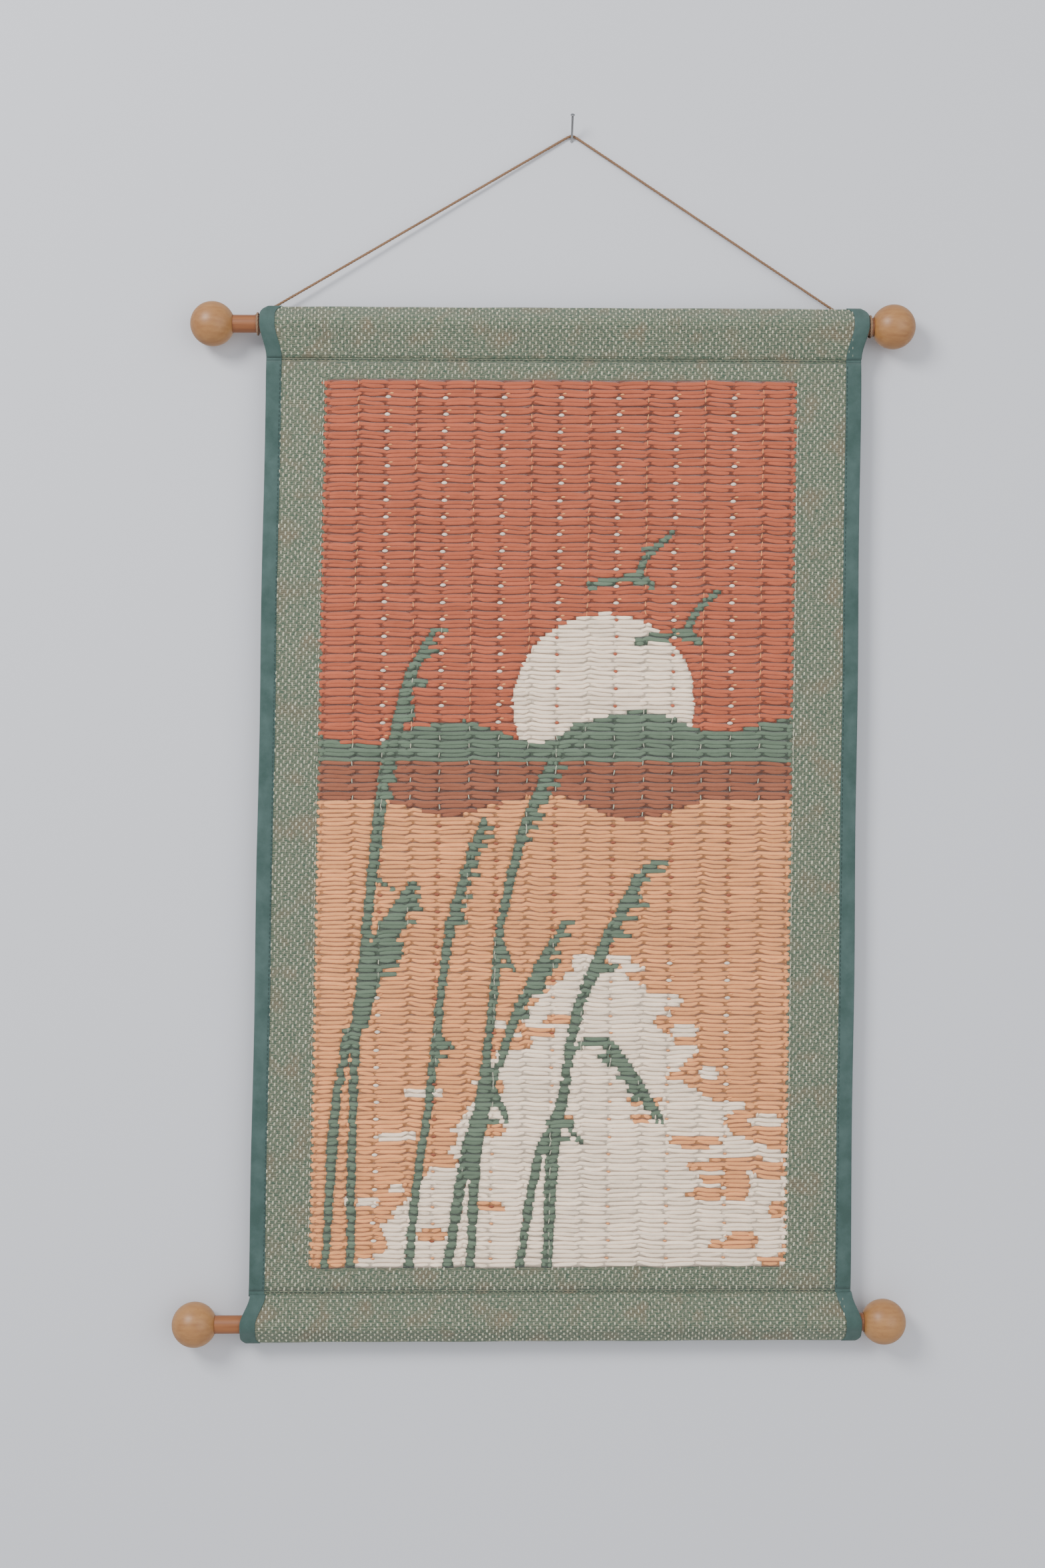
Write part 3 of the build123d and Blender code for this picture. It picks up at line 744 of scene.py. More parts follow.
# %% Sleeve surfaces
def sleeve_outline(name, count=150):
    """The almond round the rod as even points (y, z) with outward normals. For each direction the
    hull of three circles reaches farthest at one of them: centre times direction plus radius."""
    low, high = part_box(f"{name}_sleeve_binding_left")
    rod = RODS[name]["z"]
    inset = 2.5 * MM
    circles = [(rod, RODS[name]["radius"] + 0.06 * MM), (high[2] - inset, 0.3 * MM),
               (low[2] + inset, 0.3 * MM)]
    angle = np.linspace(0, 2 * math.pi, 1441)[:-1] + 0.001
    reach = np.stack([z * np.sin(angle) + r for z, r in circles])
    pick = reach.argmax(0)
    z0, r0 = np.array(circles).T
    outline = np.stack([ROD_Y + r0[pick] * np.cos(angle), z0[pick] + r0[pick] * np.sin(angle)], -1)
    ring = np.concatenate([outline, outline[:1]])
    length = np.concatenate([[0], np.cumsum(np.linalg.norm(np.diff(ring, axis=0), axis=1))])
    places = np.linspace(0, length[-1], count + 1)[:-1]
    even_ring = np.stack([np.interp(places, length, ring[:, axis]) for axis in range(2)], -1)
    tangent = unit(np.roll(even_ring, -1, 0) - np.roll(even_ring, 1, 0))
    return even_ring, np.stack([tangent[:, 1], -tangent[:, 0]], -1), places, length[-1]


SLEEVE_OUT = BINDING_THICK + CLOTH_THICK
OUTLINES = {name: sleeve_outline(name) for name in RODS}


def flare(name, z):
    """How far in from the sleeve's full width its ends lie: least at the rod, most at the seam."""
    rod = RODS[name]["z"]
    seam = panel_top if name == "upper" else panel_bottom
    fold = rod + (10.3 if name == "upper" else -10.3) * MM
    toward_seam = np.clip(1.15 * (z - rod) / (seam - rod), 0, 1)
    full, corner = (4.5 * MM, 5.5 * MM) if name == "upper" else (6.0 * MM, 3.0 * MM)
    into_corner = np.clip(corner - np.abs(z - fold), 0, corner)
    return full * toward_seam ** 2 * (3 - 2 * toward_seam) + corner - np.sqrt(corner ** 2 - into_corner ** 2)


def sleeve_x(name, side, z, inward):
    """x of the sleeve's end at a height, some way in from its mouth."""
    low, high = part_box(f"{name}_sleeve_binding_{side}")
    sign = 1 if side == "left" else -1
    mouth = low[0] if side == "left" else high[0]
    return mouth + sign * (flare(name, z) + inward)


def make_sleeve(name):
    """The folded cloth: the outline at two distances from the hollow, carried from end to end."""
    ring, normal, places, total = OUTLINES[name]
    share = np.linspace(0, 1, 105)
    left = sleeve_x(name, "left", ring[:, 1], BINDING_THICK)
    right = sleeve_x(name, "right", ring[:, 1], BINDING_THICK)
    x = left + (right - left) * share[:, None]
    pucker = 0.22 * MM * np.sin(x / (13 * MM) + 3 * ring[:, 1] / (20 * MM)) * np.sin(x / (37 * MM))
    grids = []
    for grow in (SLEEVE_OUT, BINDING_THICK):
        yz = ring + normal * (grow + pucker[..., None])
        grids.append(np.concatenate([x[..., None], yz], -1))
    count, around = x.shape
    outer, inner = (grid.reshape(-1, 3) for grid in grids)
    here = np.arange(around)
    after = (here + 1) % around
    total_points = count * around
    start_rim = np.stack([after, here, here + total_points, after + total_points], -1)
    last = (count - 1) * around
    end_rim = np.stack([last + here, last + after, last + after + total_points, last + here + total_points],
                       -1)
    faces = np.concatenate([ring_faces(count, around), ring_faces(count, around, total_points, flip=True),
                            start_rim, end_rim])
    uv = np.stack(np.broadcast_arrays(x / MM, places / MM), -1).reshape(-1, 2)
    return np.concatenate([outer, inner]), faces, np.concatenate([uv, uv])


for name, body in (("upper", "hanger"), ("lower", "lower_hem")):
    sleeve = place_piece(f"{name}_sleeve_cloth", make_sleeve(name), GROUND, body, "ground_cloth",
                         f"{name}_sleeve")

# %% [markdown]
# Each sleeve ends in a seam just short of the line where the panel starts to swing. A narrow lip of
# the same cloth runs on from the seam to that line, so that the weave has no gap there.

# %% Seam lips
LIP_HEIGHTS = {"upper": np.linspace(panel_top + 3.4 * MM, panel_top, 3),
               "lower": np.linspace(panel_bottom, panel_bottom - 3.4 * MM, 3)}


def bend_lip(piece):
    """Bakes the lip's transform into its mesh; the lip rides on no body."""
    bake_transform(piece)


for name, body in (("upper", "hanger"), ("lower", "lower_hem")):
    lip_z, lip_across = np.meshgrid(LIP_HEIGHTS[name], np.linspace(-half, half, 101), indexing="ij")
    lip = closed_sheet(on_panel(lip_across, lip_z, CLOTH_THICK / 2),
                       on_panel(lip_across, lip_z, -CLOTH_THICK / 2),
                       np.stack([lip_across, lip_z], -1) / MM)
    bend_lip(place_piece(f"{name}_seam_lip", lip, GROUND, None, "ground_cloth"))

# %% Ticks of warp
TICK_PLACES = np.array([0.0, 0.25, 0.75, 1.0])
TICK_SWELL = np.array([0.35, 1.0, 1.0, 0.35])
TICK_RISE = np.array([-0.6, 0.35, 0.35, -0.6])


def ticks(name, start, end, out, body, plain=False):
    """Upright warp ticks as one piece. A plain tick has no rings between its two ends."""
    count = len(start)
    pick = [1, 2] if plain else [0, 1, 2, 3]
    places = np.broadcast_to(np.array([0.0, 1.0]) if plain else TICK_PLACES, (count, len(pick)))
    width = 0.62 * MM * rng.uniform(0.8, 1.2, count)
    table = spindles(start, end, out, width, np.full(count, 0.45 * MM), places, TICK_SWELL[pick],
                     TICK_RISE[pick], 4)
    shade = np.repeat(rng.uniform(-0.28, 0.12, count), 4 * len(pick))
    print(f"{name}: {count} ticks")
    return place_piece(name, table, WARP, body, "ground_cloth", shade=shade)


def tick_grid(low_a, high_a, low_b, high_b):
    """Staggered places: every other row moves half a pitch, and each tick strays a little."""
    rows = np.arange(int((high_b - low_b) / TICK_DOWN))
    columns = np.arange(int((high_a - low_a) / TICK_ACROSS) + 1)
    row, column = np.meshgrid(rows, columns, indexing="ij")
    a = low_a + (column + 0.5 * (row % 2)) * TICK_ACROSS
    b = low_b + (row + 0.5) * TICK_DOWN
    a, b = a.ravel(), b.ravel()
    a = a + rng.normal(0, 0.22 * MM, a.size)
    b = b + rng.normal(0, 0.18 * MM, b.size)
    keep = (a > low_a) & (a < high_a)
    return a[keep], b[keep]


across, z = tick_grid(-CLOTH_WIDTH / 2 + BINDING_WIDTH, CLOTH_WIDTH / 2 - BINDING_WIDTH,
                      panel_bottom + 0.2 * MM, panel_top + 0.8 * MM)
right_edge = PICTURE_LEFT + PICTURE_WIDE
outside = ((across < PICTURE_LEFT - 0.5 * MM) | (across > right_edge + 0.5 * MM)
           | (z > PICTURE_TOP + 1 * MM) | (z < PICTURE_TOP - PICTURE_TALL - 1 * MM))
slant = rng.normal(0.15, 0.12, across.size) * MM
reach = rng.uniform(1.15, 1.65, across.size) * MM
thinned = rng.random(across.size) < 0.75
for label, out, keep in (("panel_warp_ticks", 1, outside), ("panel_back_ticks", -1, thinned)):
    surface = CLOTH_THICK / 2 * out
    a, b, s, r = across[keep], z[keep], slant[keep], reach[keep]
    outward = np.broadcast_to(np.array([0.0, -1.0 * out, 0.0]), (a.size, 3))
    ticks(label, on_panel(a - s, b - r, surface), on_panel(a + s, b + r, surface), outward, "panel",
          plain=out < 0)

for name, body in (("upper", "hanger"), ("lower", "lower_hem")):
    ring, normal, places, total = OUTLINES[name]
    closed = [np.append(values, values[0]) for values in (ring[:, 0], ring[:, 1], normal[:, 0], normal[:, 1])]
    outer = np.stack(closed[:2], -1) + SLEEVE_OUT * np.stack(closed[2:], -1)
    stations = np.concatenate([[0], np.cumsum(np.linalg.norm(np.diff(outer, axis=0), axis=1))])
    total = stations[-1]
    x, b = tick_grid(sleeve_x(name, "left", RODS[name]["z"], BINDING_WIDTH),
                     sleeve_x(name, "right", RODS[name]["z"], BINDING_WIDTH), 0, total)

    def on_sleeve(x, b):
        """Point and outward normal of the sleeve's cloth at a distance round its outline."""
        y, z, ny, nz = (np.interp(b % total, stations, values) for values in closed)
        return (np.stack([x, y + ny * SLEEVE_OUT, z + nz * SLEEVE_OUT], -1), np.stack([0 * x, ny, nz], -1))

    height = on_sleeve(x, b)[0][:, 2]
    clear = ((x > sleeve_x(name, "left", height, BINDING_WIDTH + 0.3 * MM))
             & (x < sleeve_x(name, "right", height, -BINDING_WIDTH - 0.3 * MM)))
    x, b = x[clear], b[clear]
    bottom, _ = on_sleeve(x, b - 1.3 * MM)
    top, _ = on_sleeve(x, b + 1.3 * MM)
    _, outward = on_sleeve(x, b)
    ticks(f"{name}_sleeve_ticks", bottom, top, unit(outward), body)


# %% [markdown]
# ## The picture
# The picture is woven with extra wefts. Each yarn floats over the front for about twenty
# millimetres, from one binding warp to the next, and sinks back into the cloth at both ends. So the
# picture is worked out row by row: every row of weft is sampled across the width, the colour at
# each sample comes from the outlines, and a float runs for as long as neither the colour nor the
# column changes. Each float is a spindle that is fat in the middle and thin where it is tied down.

# %% Outlines of the picture
ROWS = 206
PICK = PICTURE_TALL / MM / ROWS
COLUMN, FIRST_COLUMN = 19.5, 3.4
SAMPLE = 0.5
SKY, SUN, HILL, SHORE, WATER, REFLECTION, REED, BIRD = range(8)
HILL_LINE = [(0, 240), (20, 245), (37, 246), (50, 240), (62, 235), (80, 231), (98, 229), (118, 236),
             (136, 243), (148, 245),
             (158, 241), (175, 232), (195, 226), (213, 222), (232, 226), (250, 233), (262, 237), (278, 237),
             (295, 232), (318, 227)]
SHORE_LINE = [(0, 283), (44, 283), (60, 287), (78, 292), (92, 294), (104, 291), (118, 285), (140, 281),
              (163, 280), (178, 285),
              (194, 293), (212, 297), (228, 294), (242, 288), (256, 284), (318, 284)]
SHORE_TOP = 256
SUN_PLACE, SUN_RADIUS = (191, 218), 61
LEFT_SHORE = [(386, 178), (400, 168), (412, 152), (430, 140), (446, 134), (452, 122), (470, 112),
              (485, 108), (500, 98), (514, 92),
              (526, 82), (542, 72), (556, 58), (566, 47), (580, 50), (594, 30)]
RIGHT_SHORE = [(386, 203), (396, 220), (412, 224), (420, 234), (432, 230), (442, 242), (455, 250),
               (468, 246), (480, 262),
               (490, 284), (498, 274), (508, 286), (514, 304), (520, 319), (594, 319)]
APRICOT_STREAKS = [(238, 275, 508, 514), (250, 318, 524, 531), (274, 294, 530, 551), (294, 318, 526, 535),
                   (259, 280, 533, 538),
                   (250, 280, 544, 549), (306, 318, 552, 562), (278, 300, 572, 582), (266, 282, 578, 583),
                   (298, 318, 589, 592),
                   (108, 130, 552, 557), (70, 92, 570, 576), (112, 130, 500, 506), (80, 97, 508, 513),
                   (80, 98, 520, 528),
                   (153, 176, 428, 433), (138, 162, 435, 441), (128, 147, 442, 449), (208, 224, 398, 402),
                   (210, 234, 481, 486),
                   (240, 258, 442, 447), (236, 252, 466, 469), (40, 52, 576, 584), (188, 206, 391, 394),
                   (212, 228, 494, 497),
                   (164, 176, 494, 500), (118, 128, 470, 480)]
CREAM_STREAKS = [(222, 247, 413, 421), (238, 258, 447, 453), (60, 88, 476, 481), (44, 70, 504, 511),
                 (22, 28, 546, 553), (30, 46, 548, 554), (238, 258, 434, 440),
                 (258, 272, 463, 469), (276, 290, 485, 490), (292, 316, 495, 501), (118, 130, 431, 436),
                 (172, 184, 386, 396),
                 (52, 62, 540, 545), (196, 204, 386, 392)]
STEMS = [
    [(594, 27, 2.5), (492, 27, 2.5), (443, 28, 3), (394, 33, 3), (345, 36, 3), (296, 41, 3.5),
     (270, 44, 3.4), (246, 50, 3.6),
     (220, 56, 4), (197, 61, 3.8), (184, 68, 3), (168, 77, 1.6)],
    [(594, 10, 2), (542, 13, 2.5), (508, 14, 3.5), (480, 16, 2.5), (460, 20, 2.5), (436, 24, 4)],
    [(436, 30, 5), (410, 35, 7), (395, 38, 8), (378, 46, 8), (362, 53, 7), (350, 59, 5), (336, 66, 2)],
    [(594, 66, 3), (565, 68, 2.5), (520, 73, 2.5), (492, 77, 2.5), (443, 82, 2.5), (400, 86, 2.5),
     (370, 90, 3), (345, 96, 2.8),
     (325, 102, 2.8), (308, 108, 2.8), (294, 113, 1.6)],
    [(594, 92, 3), (565, 96, 3), (540, 100, 3.5), (512, 107, 6), (490, 112, 4.5), (473, 114, 3),
     (443, 117, 2.5), (404, 121, 2.5),
     (365, 124, 2.5), (335, 130, 3), (305, 138, 3), (283, 146, 3.4), (262, 155, 3.4), (245, 164, 2.8),
     (230, 174, 1.8)],
    [(594, 107, 2.5), (540, 109, 3), (512, 110, 4), (497, 113, 4.5), (478, 117, 2.5), (455, 126, 2.5),
     (432, 133, 3), (415, 141, 3.6),
     (394, 151, 3.6), (374, 162, 2.8), (363, 169, 1.6)],
    [(594, 140, 2.5), (570, 143, 2.5), (545, 147, 2.5), (520, 152, 3), (508, 156, 3.5), (500, 160, 2)],
    [(594, 158, 3), (545, 160, 3.5), (510, 161, 4.5), (492, 164, 4.5), (478, 168, 3), (443, 172, 3),
     (418, 178, 3.5), (398, 187, 4.2),
     (380, 194, 3.6), (362, 203, 3.6), (345, 211, 4), (332, 218, 2.6), (324, 226, 1.6)],
]
LEAF = [(168, 460, 2), (174, 450, 3), (181, 445, 2.6), (191, 443, 2.8), (198, 448, 5.5), (205, 457, 8),
        (213, 468, 8.5), (221, 479, 7),
        (228, 488, 5), (235, 497, 2)]
SMALL_LEAVES = [[(335, 41, 1.2), (338, 45, 2), (342, 51, 1.2)],
                [(364, 123, 1.6), (376, 124, 2), (386, 128, 2), (397, 134, 1)],
                [(432, 82, 1.6), (441, 84, 2.2), (450, 95, 1)],
                [(461, 118, 2), (472, 119, 2.4), (482, 122, 2.8), (490, 127, 2.4),
                (498, 131, 1.2)], [(498, 169, 1.6), (505, 174, 2), (512, 180, 1)]]
LEAF_FRINGE = [(452, 463, 478, 488, 503), (196, 206, 216, 224, 236)]
BIRD_BODY = [(-33, 5, 1.6), (-28, 5, 3), (-20, 2, 2.6), (-12, 2, 1.8), (-6, 0, 3), (0, 0, 3.4), (6, 2, 4),
             (13, 6, 2)]
BIRD_WING = [(5, 2, 4), (-4, 3, 2.8), (-12, 6, 2.8), (-19, 12, 3.4), (-26, 20, 3.4), (-31, 25, 2)]
BIRDS = [(211, 133), (244, 171)]
TUFTED = [(0, 168, 235, 9), (0, 260, 300, 7), (2, 336, 400, 11), (3, 296, 365, 8), (4, 232, 315, 10),
          (5, 363, 430, 9),
          (7, 324, 400, 13), (3, 440, 455, 9), (4, 385, 400, 8), (5, 480, 500, 9), (7, 495, 515, 9)]


def between(line, value, across):
    """True where value lies past a line given as points (across, value)."""
    a, v = np.array(line, dtype=float).T
    return value > np.interp(across, a, v)


def in_stroke(points, along, beside):
    """True inside a tapered stroke given as points (along, middle, half width)."""
    points = sorted(points)
    a, middle, half_width = np.array(points, dtype=float).T
    near = np.abs(beside - np.interp(along, a, middle)) < np.interp(along, a, half_width)
    return near & (along >= a[0]) & (along <= a[-1])


def in_streak(streak, u, d):
    """True inside a long lens: full length in its middle, shorter towards its upper and lower edge."""
    left, right, top, bottom = streak
    middle, half_height = (top + bottom) / 2, (bottom - top) / 2 + 0.8
    lens = 1 - 0.5 * np.clip(np.abs(d - middle) / half_height, 0, 1) ** 2
    centre, half_length = (left + right) / 2, (right - left) / 2
    return (np.abs(u - centre) < half_length * lens) & (np.abs(d - middle) <= half_height)


def colour_picture(u, d):
    """The yarn at each place of the picture: later shapes cover earlier ones."""
    region = np.full(u.shape, SKY)
    tooth, other_tooth = rng.uniform(-1, 1, (2, u.shape[0], 1))
    region[np.hypot(u - SUN_PLACE[0] + 0.7 * tooth, d - SUN_PLACE[1]) < SUN_RADIUS] = SUN
    region[between(HILL_LINE, d, u)] = HILL
    region[d > SHORE_TOP] = SHORE
    region[between(SHORE_LINE, d, u)] = WATER
    ragged = rng.normal(0, 1.0, (u.shape[0], 2))
    left = np.interp(d[:, :1], *np.array(LEFT_SHORE, dtype=float).T) + 2.5 * ragged[:, :1]
    right = np.interp(d[:, :1], *np.array(RIGHT_SHORE, dtype=float).T) + 3.0 * ragged[:, 1:]
    region[(d > LEFT_SHORE[0][0]) & (u > left) & (u < right)] = REFLECTION
    for streak in APRICOT_STREAKS:
        region[in_streak(streak, u, d) & (region == REFLECTION)] = WATER
    for streak in CREAM_STREAKS:
        region[in_streak(streak, u, d) & (region == WATER)] = REFLECTION
    for stem in STEMS + SMALL_LEAVES:
        region[in_stroke(stem, d, u + 0.9 * tooth) | in_stroke(stem, d, u + 0.9 * other_tooth)] = REED
    region[in_stroke(LEAF, u, d)] = REED
    fringe = np.interp(d, *LEAF_FRINGE)
    hair = 9 * rng.random((u.shape[0], 1)) * (rng.random((u.shape[0], 1)) < 0.6)
    region[(d > LEAF_FRINGE[0][0]) & (d < LEAF_FRINGE[0][-1]) & (u < fringe) & (u > fringe - hair)] = REED
    for stem, top, bottom, length in TUFTED:
        a, middle, half_width = np.array(sorted(STEMS[stem]), dtype=float).T
        edge = np.interp(d, a, middle + half_width)
        tuft = rng.uniform(0.3, 1, (u.shape[0], 1)) * length * (rng.random((u.shape[0], 1)) < 0.5)
        rim = np.interp(d, a, middle - half_width)
        left_tuft = 2.5 * rng.random((u.shape[0], 1)) * (rng.random((u.shape[0], 1)) < 0.35)
        region[(d > top) & (d < bottom) & (u > edge - 1) & (u < edge + tuft)] = REED
        region[(d > top) & (d < bottom) & (u < rim + 1) & (u > rim - left_tuft)] = REED
    for x, y in BIRDS:
        region[in_stroke(BIRD_BODY, u - x, d - y)] = BIRD
        region[in_stroke(BIRD_WING, d - y, u - x)] = BIRD
    return region


row, sample = np.meshgrid(np.arange(ROWS), np.arange(int(PICTURE_WIDE / MM / SAMPLE)), indexing="ij")
region = colour_picture((sample + 0.5) * SAMPLE, (row + 0.5) * PICK)
STAGGER = np.array([-0.8, 0.6, -2.4, 2.5])
odd = np.round(((sample + 0.5) * SAMPLE - FIRST_COLUMN) / COLUMN) % 2
shift = np.where(odd == 1, STAGGER[row % 4], 0.5 * STAGGER[(row + 1) % 4])
column = np.floor(((sample + 0.5) * SAMPLE - FIRST_COLUMN - shift) / COLUMN + 1)
key = region * 100 + column
cut = np.ones((ROWS, key.shape[1] + 1), dtype=bool)
cut[:, 1:-1] = key[:, 1:] != key[:, :-1]
cut_row, cut_place = np.nonzero(cut)
same = cut_row[1:] == cut_row[:-1]
float_row = cut_row[:-1][same]
float_start = cut_place[:-1][same] * SAMPLE
float_end = cut_place[1:][same] * SAMPLE
float_region = region[float_row, (float_start / SAMPLE).astype(int)]
print(f"picture: {len(float_row)} floats")


# %% Floats
def weave_wave(u, d):
    """The rows are not quite level: slow waves in millimetres, shared by neighbouring rows, and a
    hump at each column of ties, steep on its left and long on its right."""
    wave = 0.26 * np.sin(u / 9.0 + d / 23.0) + 0.16 * np.sin(u / 3.9 - d / 11.0 + 1.3)
    nearest = 2 * np.round(((u - FIRST_COLUMN) / COLUMN - 1) / 2) + 1
    past = u - FIRST_COLUMN - COLUMN * nearest - 1.5
    hump = np.exp(-(past / np.where(past < 0, 1.8, 4.2)) ** 2)
    return wave - (0.75 + 0.35 * np.sin(d / 17.0 + nearest)) * hump


def picture_point(u, d, out):
    """A point of the picture in metres, from millimetres across and down."""
    return on_panel(PICTURE_LEFT + u * MM, PICTURE_TOP - (d + weave_wave(u, d)) * MM, out)


def tie_pull(rows, u):
    """How far up or down, in millimetres, the tie at a float's end pulls it: on every other column
    the rows close up in pairs, and on the columns between them they part round a warp dot."""
    nearest = np.round((u - FIRST_COLUMN) / COLUMN).astype(int)
    off = np.abs(u - FIRST_COLUMN - COLUMN * nearest)
    paired = np.where(rows % 2 == 0, 0.42, -0.42)
    parted = np.array([0.70, 0.25, -0.25, -0.70])[rows % 4]
    return np.where((nearest % 2 == 0) & (nearest > 0) & (off < 3.5), parted, paired)


def float_spindles(start, end, d, rows, half_height, depth, pinch):
    """Floats: thin ends of fixed length with a full middle, bent towards the tie at each end."""
    length = end - start
    tip, neck, flank = (np.minimum(size / length, most) for size,
                        most in ((0.7, 0.12), (2.3, 0.26), (5.0, 0.41)))
    places = np.stack([0 * tip, tip, neck, flank, 0.5 + 0 * tip, 1 - flank, 1 - neck, 1 - tip, 1 + 0 * tip],
                      -1)
    swell = 1 - pinch * np.array([0.95, 0.60, 0.22, 0.03, 0, 0.03, 0.22, 0.60, 0.95])
    rise = 0.42 - pinch * np.array([1.5, 0.8, 0.32, 0.05, 0, 0.05, 0.32, 0.8, 1.5])
    points, faces, uv = spindles(picture_point(start, d, 0.0), picture_point(end, d, 0.0),
                                 np.broadcast_to(np.array([0.0, -1.0, 0.0]), (len(d), 3)),
                                 half_height * MM, depth * MM, places, swell, rise)
    u = start[:, None] + length[:, None] * places
    fade_left = np.exp(-((u - start[:, None]) / 4.2) ** 2)
    fade_right = np.exp(-((end[:, None] - u) / 4.2) ** 2)
    pull_left, pull_right = (pinch * tie_pull(rows, at)[:, None]
                             + rng.normal(0, 0.28, (len(d), 1)) for at in (start, end))
    bent = d[:, None] + pull_left * fade_left + pull_right * fade_right
    line = picture_point(u, bent, CLOTH_THICK / 2)
    straight = (picture_point(start, d, 0.0)[:, None] * (1 - places[..., None])
                + picture_point(end, d, 0.0)[:, None] * places[..., None])
    points = (points.reshape(len(d), 9, 6, 3) + (line - straight)[:, :, None]).reshape(-1, 3)
    return points, faces, uv


def under_floats(start, end, rows):
    """The dense weft under each float, as a flat bar of the float's own yarn; the loop below
    darkens it as painted shade in the gaps between the floats.
    """
    count = len(rows)
    d = (rows + 0.5) * PICK
    start, end = np.maximum(start, 1.6), np.minimum(end, PICTURE_WIDE / MM - 1.6)
    face_on = np.broadcast_to(np.array([0.0, -1.0, 0.0]), (count, 3))
    first, last = (picture_point(u, d, CLOTH_THICK / 2) for u in (start, end))
    return spindles(first, last, face_on, np.full(count, 0.75 * PICK * MM), np.full(count, 0.22 * MM),
                    np.broadcast_to(np.array([0.0, 1.0]), (count, 2)), np.ones(2), np.full(2, 0.2), around=4)


FLOAT_PIECES = [(SKY, "sky_floats", RUST, "rust_yarn", "sky_weft"),
                (SUN, "sun_floats", CREAM, "cream_yarn", "sun_weft"),
                (HILL, "hill_floats", GREEN, "green_yarn", "hill_weft"),
                (SHORE, "shore_floats", BROWN, "brown_yarn", "shore_weft"),
                (WATER, "water_floats", APRICOT, "apricot_yarn", "water_weft"),
                (REFLECTION, "reflection_floats", CREAM, "cream_yarn", "reflection_weft"),
                (REED, "reed_floats", GREEN, "green_yarn", "reed_weft"),
                (BIRD, "bird_floats", GREEN, "green_yarn", "bird_weft")]
row_shade = rng.normal(0, 0.035, ROWS)
for code, name, material, slot, node in FLOAT_PIECES:
    pick = (float_region == code) & (float_end - float_start > 0.6)
    start, end, rows = float_start[pick] - 0.8, float_end[pick] + 0.8, float_row[pick]
    count = len(rows)
    start = start + np.where(rows % 2 == 0, -1.1, 0.7) + rng.normal(0, 0.35, count)
    end = end + np.where(rows % 2 == 0, 1.1, -0.7) + rng.normal(0, 0.35, count)
    full = material is CREAM
    single = code in (SUN, WATER, REFLECTION)
    pair = (0.0 if single else 0.15) * np.where(rows % 2 == 0, 1, -1)
    d = (rows + 0.5) * PICK + pair + rng.normal(0, 0.10, count)
    half_height = PICK * (0.505 if single else 0.545) * rng.uniform(0.92, 1.06, count)
    depth = rng.uniform(0.62, 0.78, count)
    # The floats get random tone per float and per row; the bars under them get -0.28 (cream) or -0.45,
    # painted shade in the gaps between floats.
    shade = np.concatenate([np.repeat(rng.normal(0, 0.045, count) + row_shade[rows], 54),
                            np.full(8 * count, -0.28 if full else -0.45)])
    table = join([float_spindles(start, end, d, rows, half_height, depth, 0.72 if full else 0.88),
                  under_floats(float_start[pick], float_end[pick], rows)])
    place_piece(name, table, material, "panel", slot, node, shade=shade)
    print(f"{name}: {count} floats")

# %% Warp dots and ticks between the columns
def spots(name, u, d, half_long, half_high, material, slot):
    """Small knobs of warp that stand out between the floats."""
    count = len(u)
    places = np.broadcast_to(np.array([0.0, 0.2, 0.5, 0.8, 1.0]), (count, 5))
    start, end = (picture_point(u + sign * half_long, d, CLOTH_THICK / 2 + 0.30 * MM) for sign in (-1, 1))
    table = spindles(start, end, np.broadcast_to(np.array([0.0, -1.0, 0.0]), (count, 3)), half_high * MM,
                     np.full(count, 0.62 * MM), places, np.array([0.25, 0.8, 1.0, 0.8, 0.25]),
                     np.array([-0.2, 0.5, 0.8, 0.5, -0.2]))
    shade = np.repeat(rng.normal(-0.03, 0.06, count), 30)
    print(f"{name}: {count}")
    return place_piece(name, table, material, "panel", slot, shade=shade)


def region_at(u, d):
    """The yarn at places given in millimetres."""
    r = np.clip((d / PICK).astype(int), 0, ROWS - 1)
    return region[r, np.clip((u / SAMPLE).astype(int), 0, region.shape[1] - 1)]


dot_row, dot_column = (grid.ravel() for grid in np.meshgrid(np.arange(3, ROWS, 4), np.arange(2, 16, 2),
                                                            indexing="ij"))
dot_u = FIRST_COLUMN + COLUMN * dot_column + rng.normal(0, 0.3, dot_row.size)
dot_d = (dot_row + 1.0) * PICK + rng.normal(0, 0.2, dot_row.size)
dot_region = region_at(dot_u, dot_d)
pale = (dot_region == SKY) | ((dot_region == WATER) & (dot_d > 386) & ((dot_column == 2) | (dot_column > 11)))
ones = np.ones(dot_u.size)
spots("pale_warp_dots", dot_u[pale], dot_d[pale], 1.9, 1.2 * ones[pale], DOT, "cream_yarn")
spots("blush_warp_dots", dot_u[pale] + 2.4, dot_d[pale] - 2.6, 1.5, 0.7 * ones[pale], APRICOT, "apricot_yarn")
dull = (dot_region == WATER) & ~pale
spots("brown_warp_dots", dot_u[dull], dot_d[dull], 1.7, 0.9 * ones[dull], BROWN_DOT, "brown_yarn")
in_sun, in_reflection = dot_region == SUN, dot_region == REFLECTION
spots("rust_warp_dots", dot_u[in_sun], dot_d[in_sun], 1.3, 1.15 * ones[in_sun], RUST, "rust_yarn")
spots("apricot_warp_dots", dot_u[in_reflection], dot_d[in_reflection], 1.2, 0.7 * ones[in_reflection],
      APRICOT, "apricot_yarn")

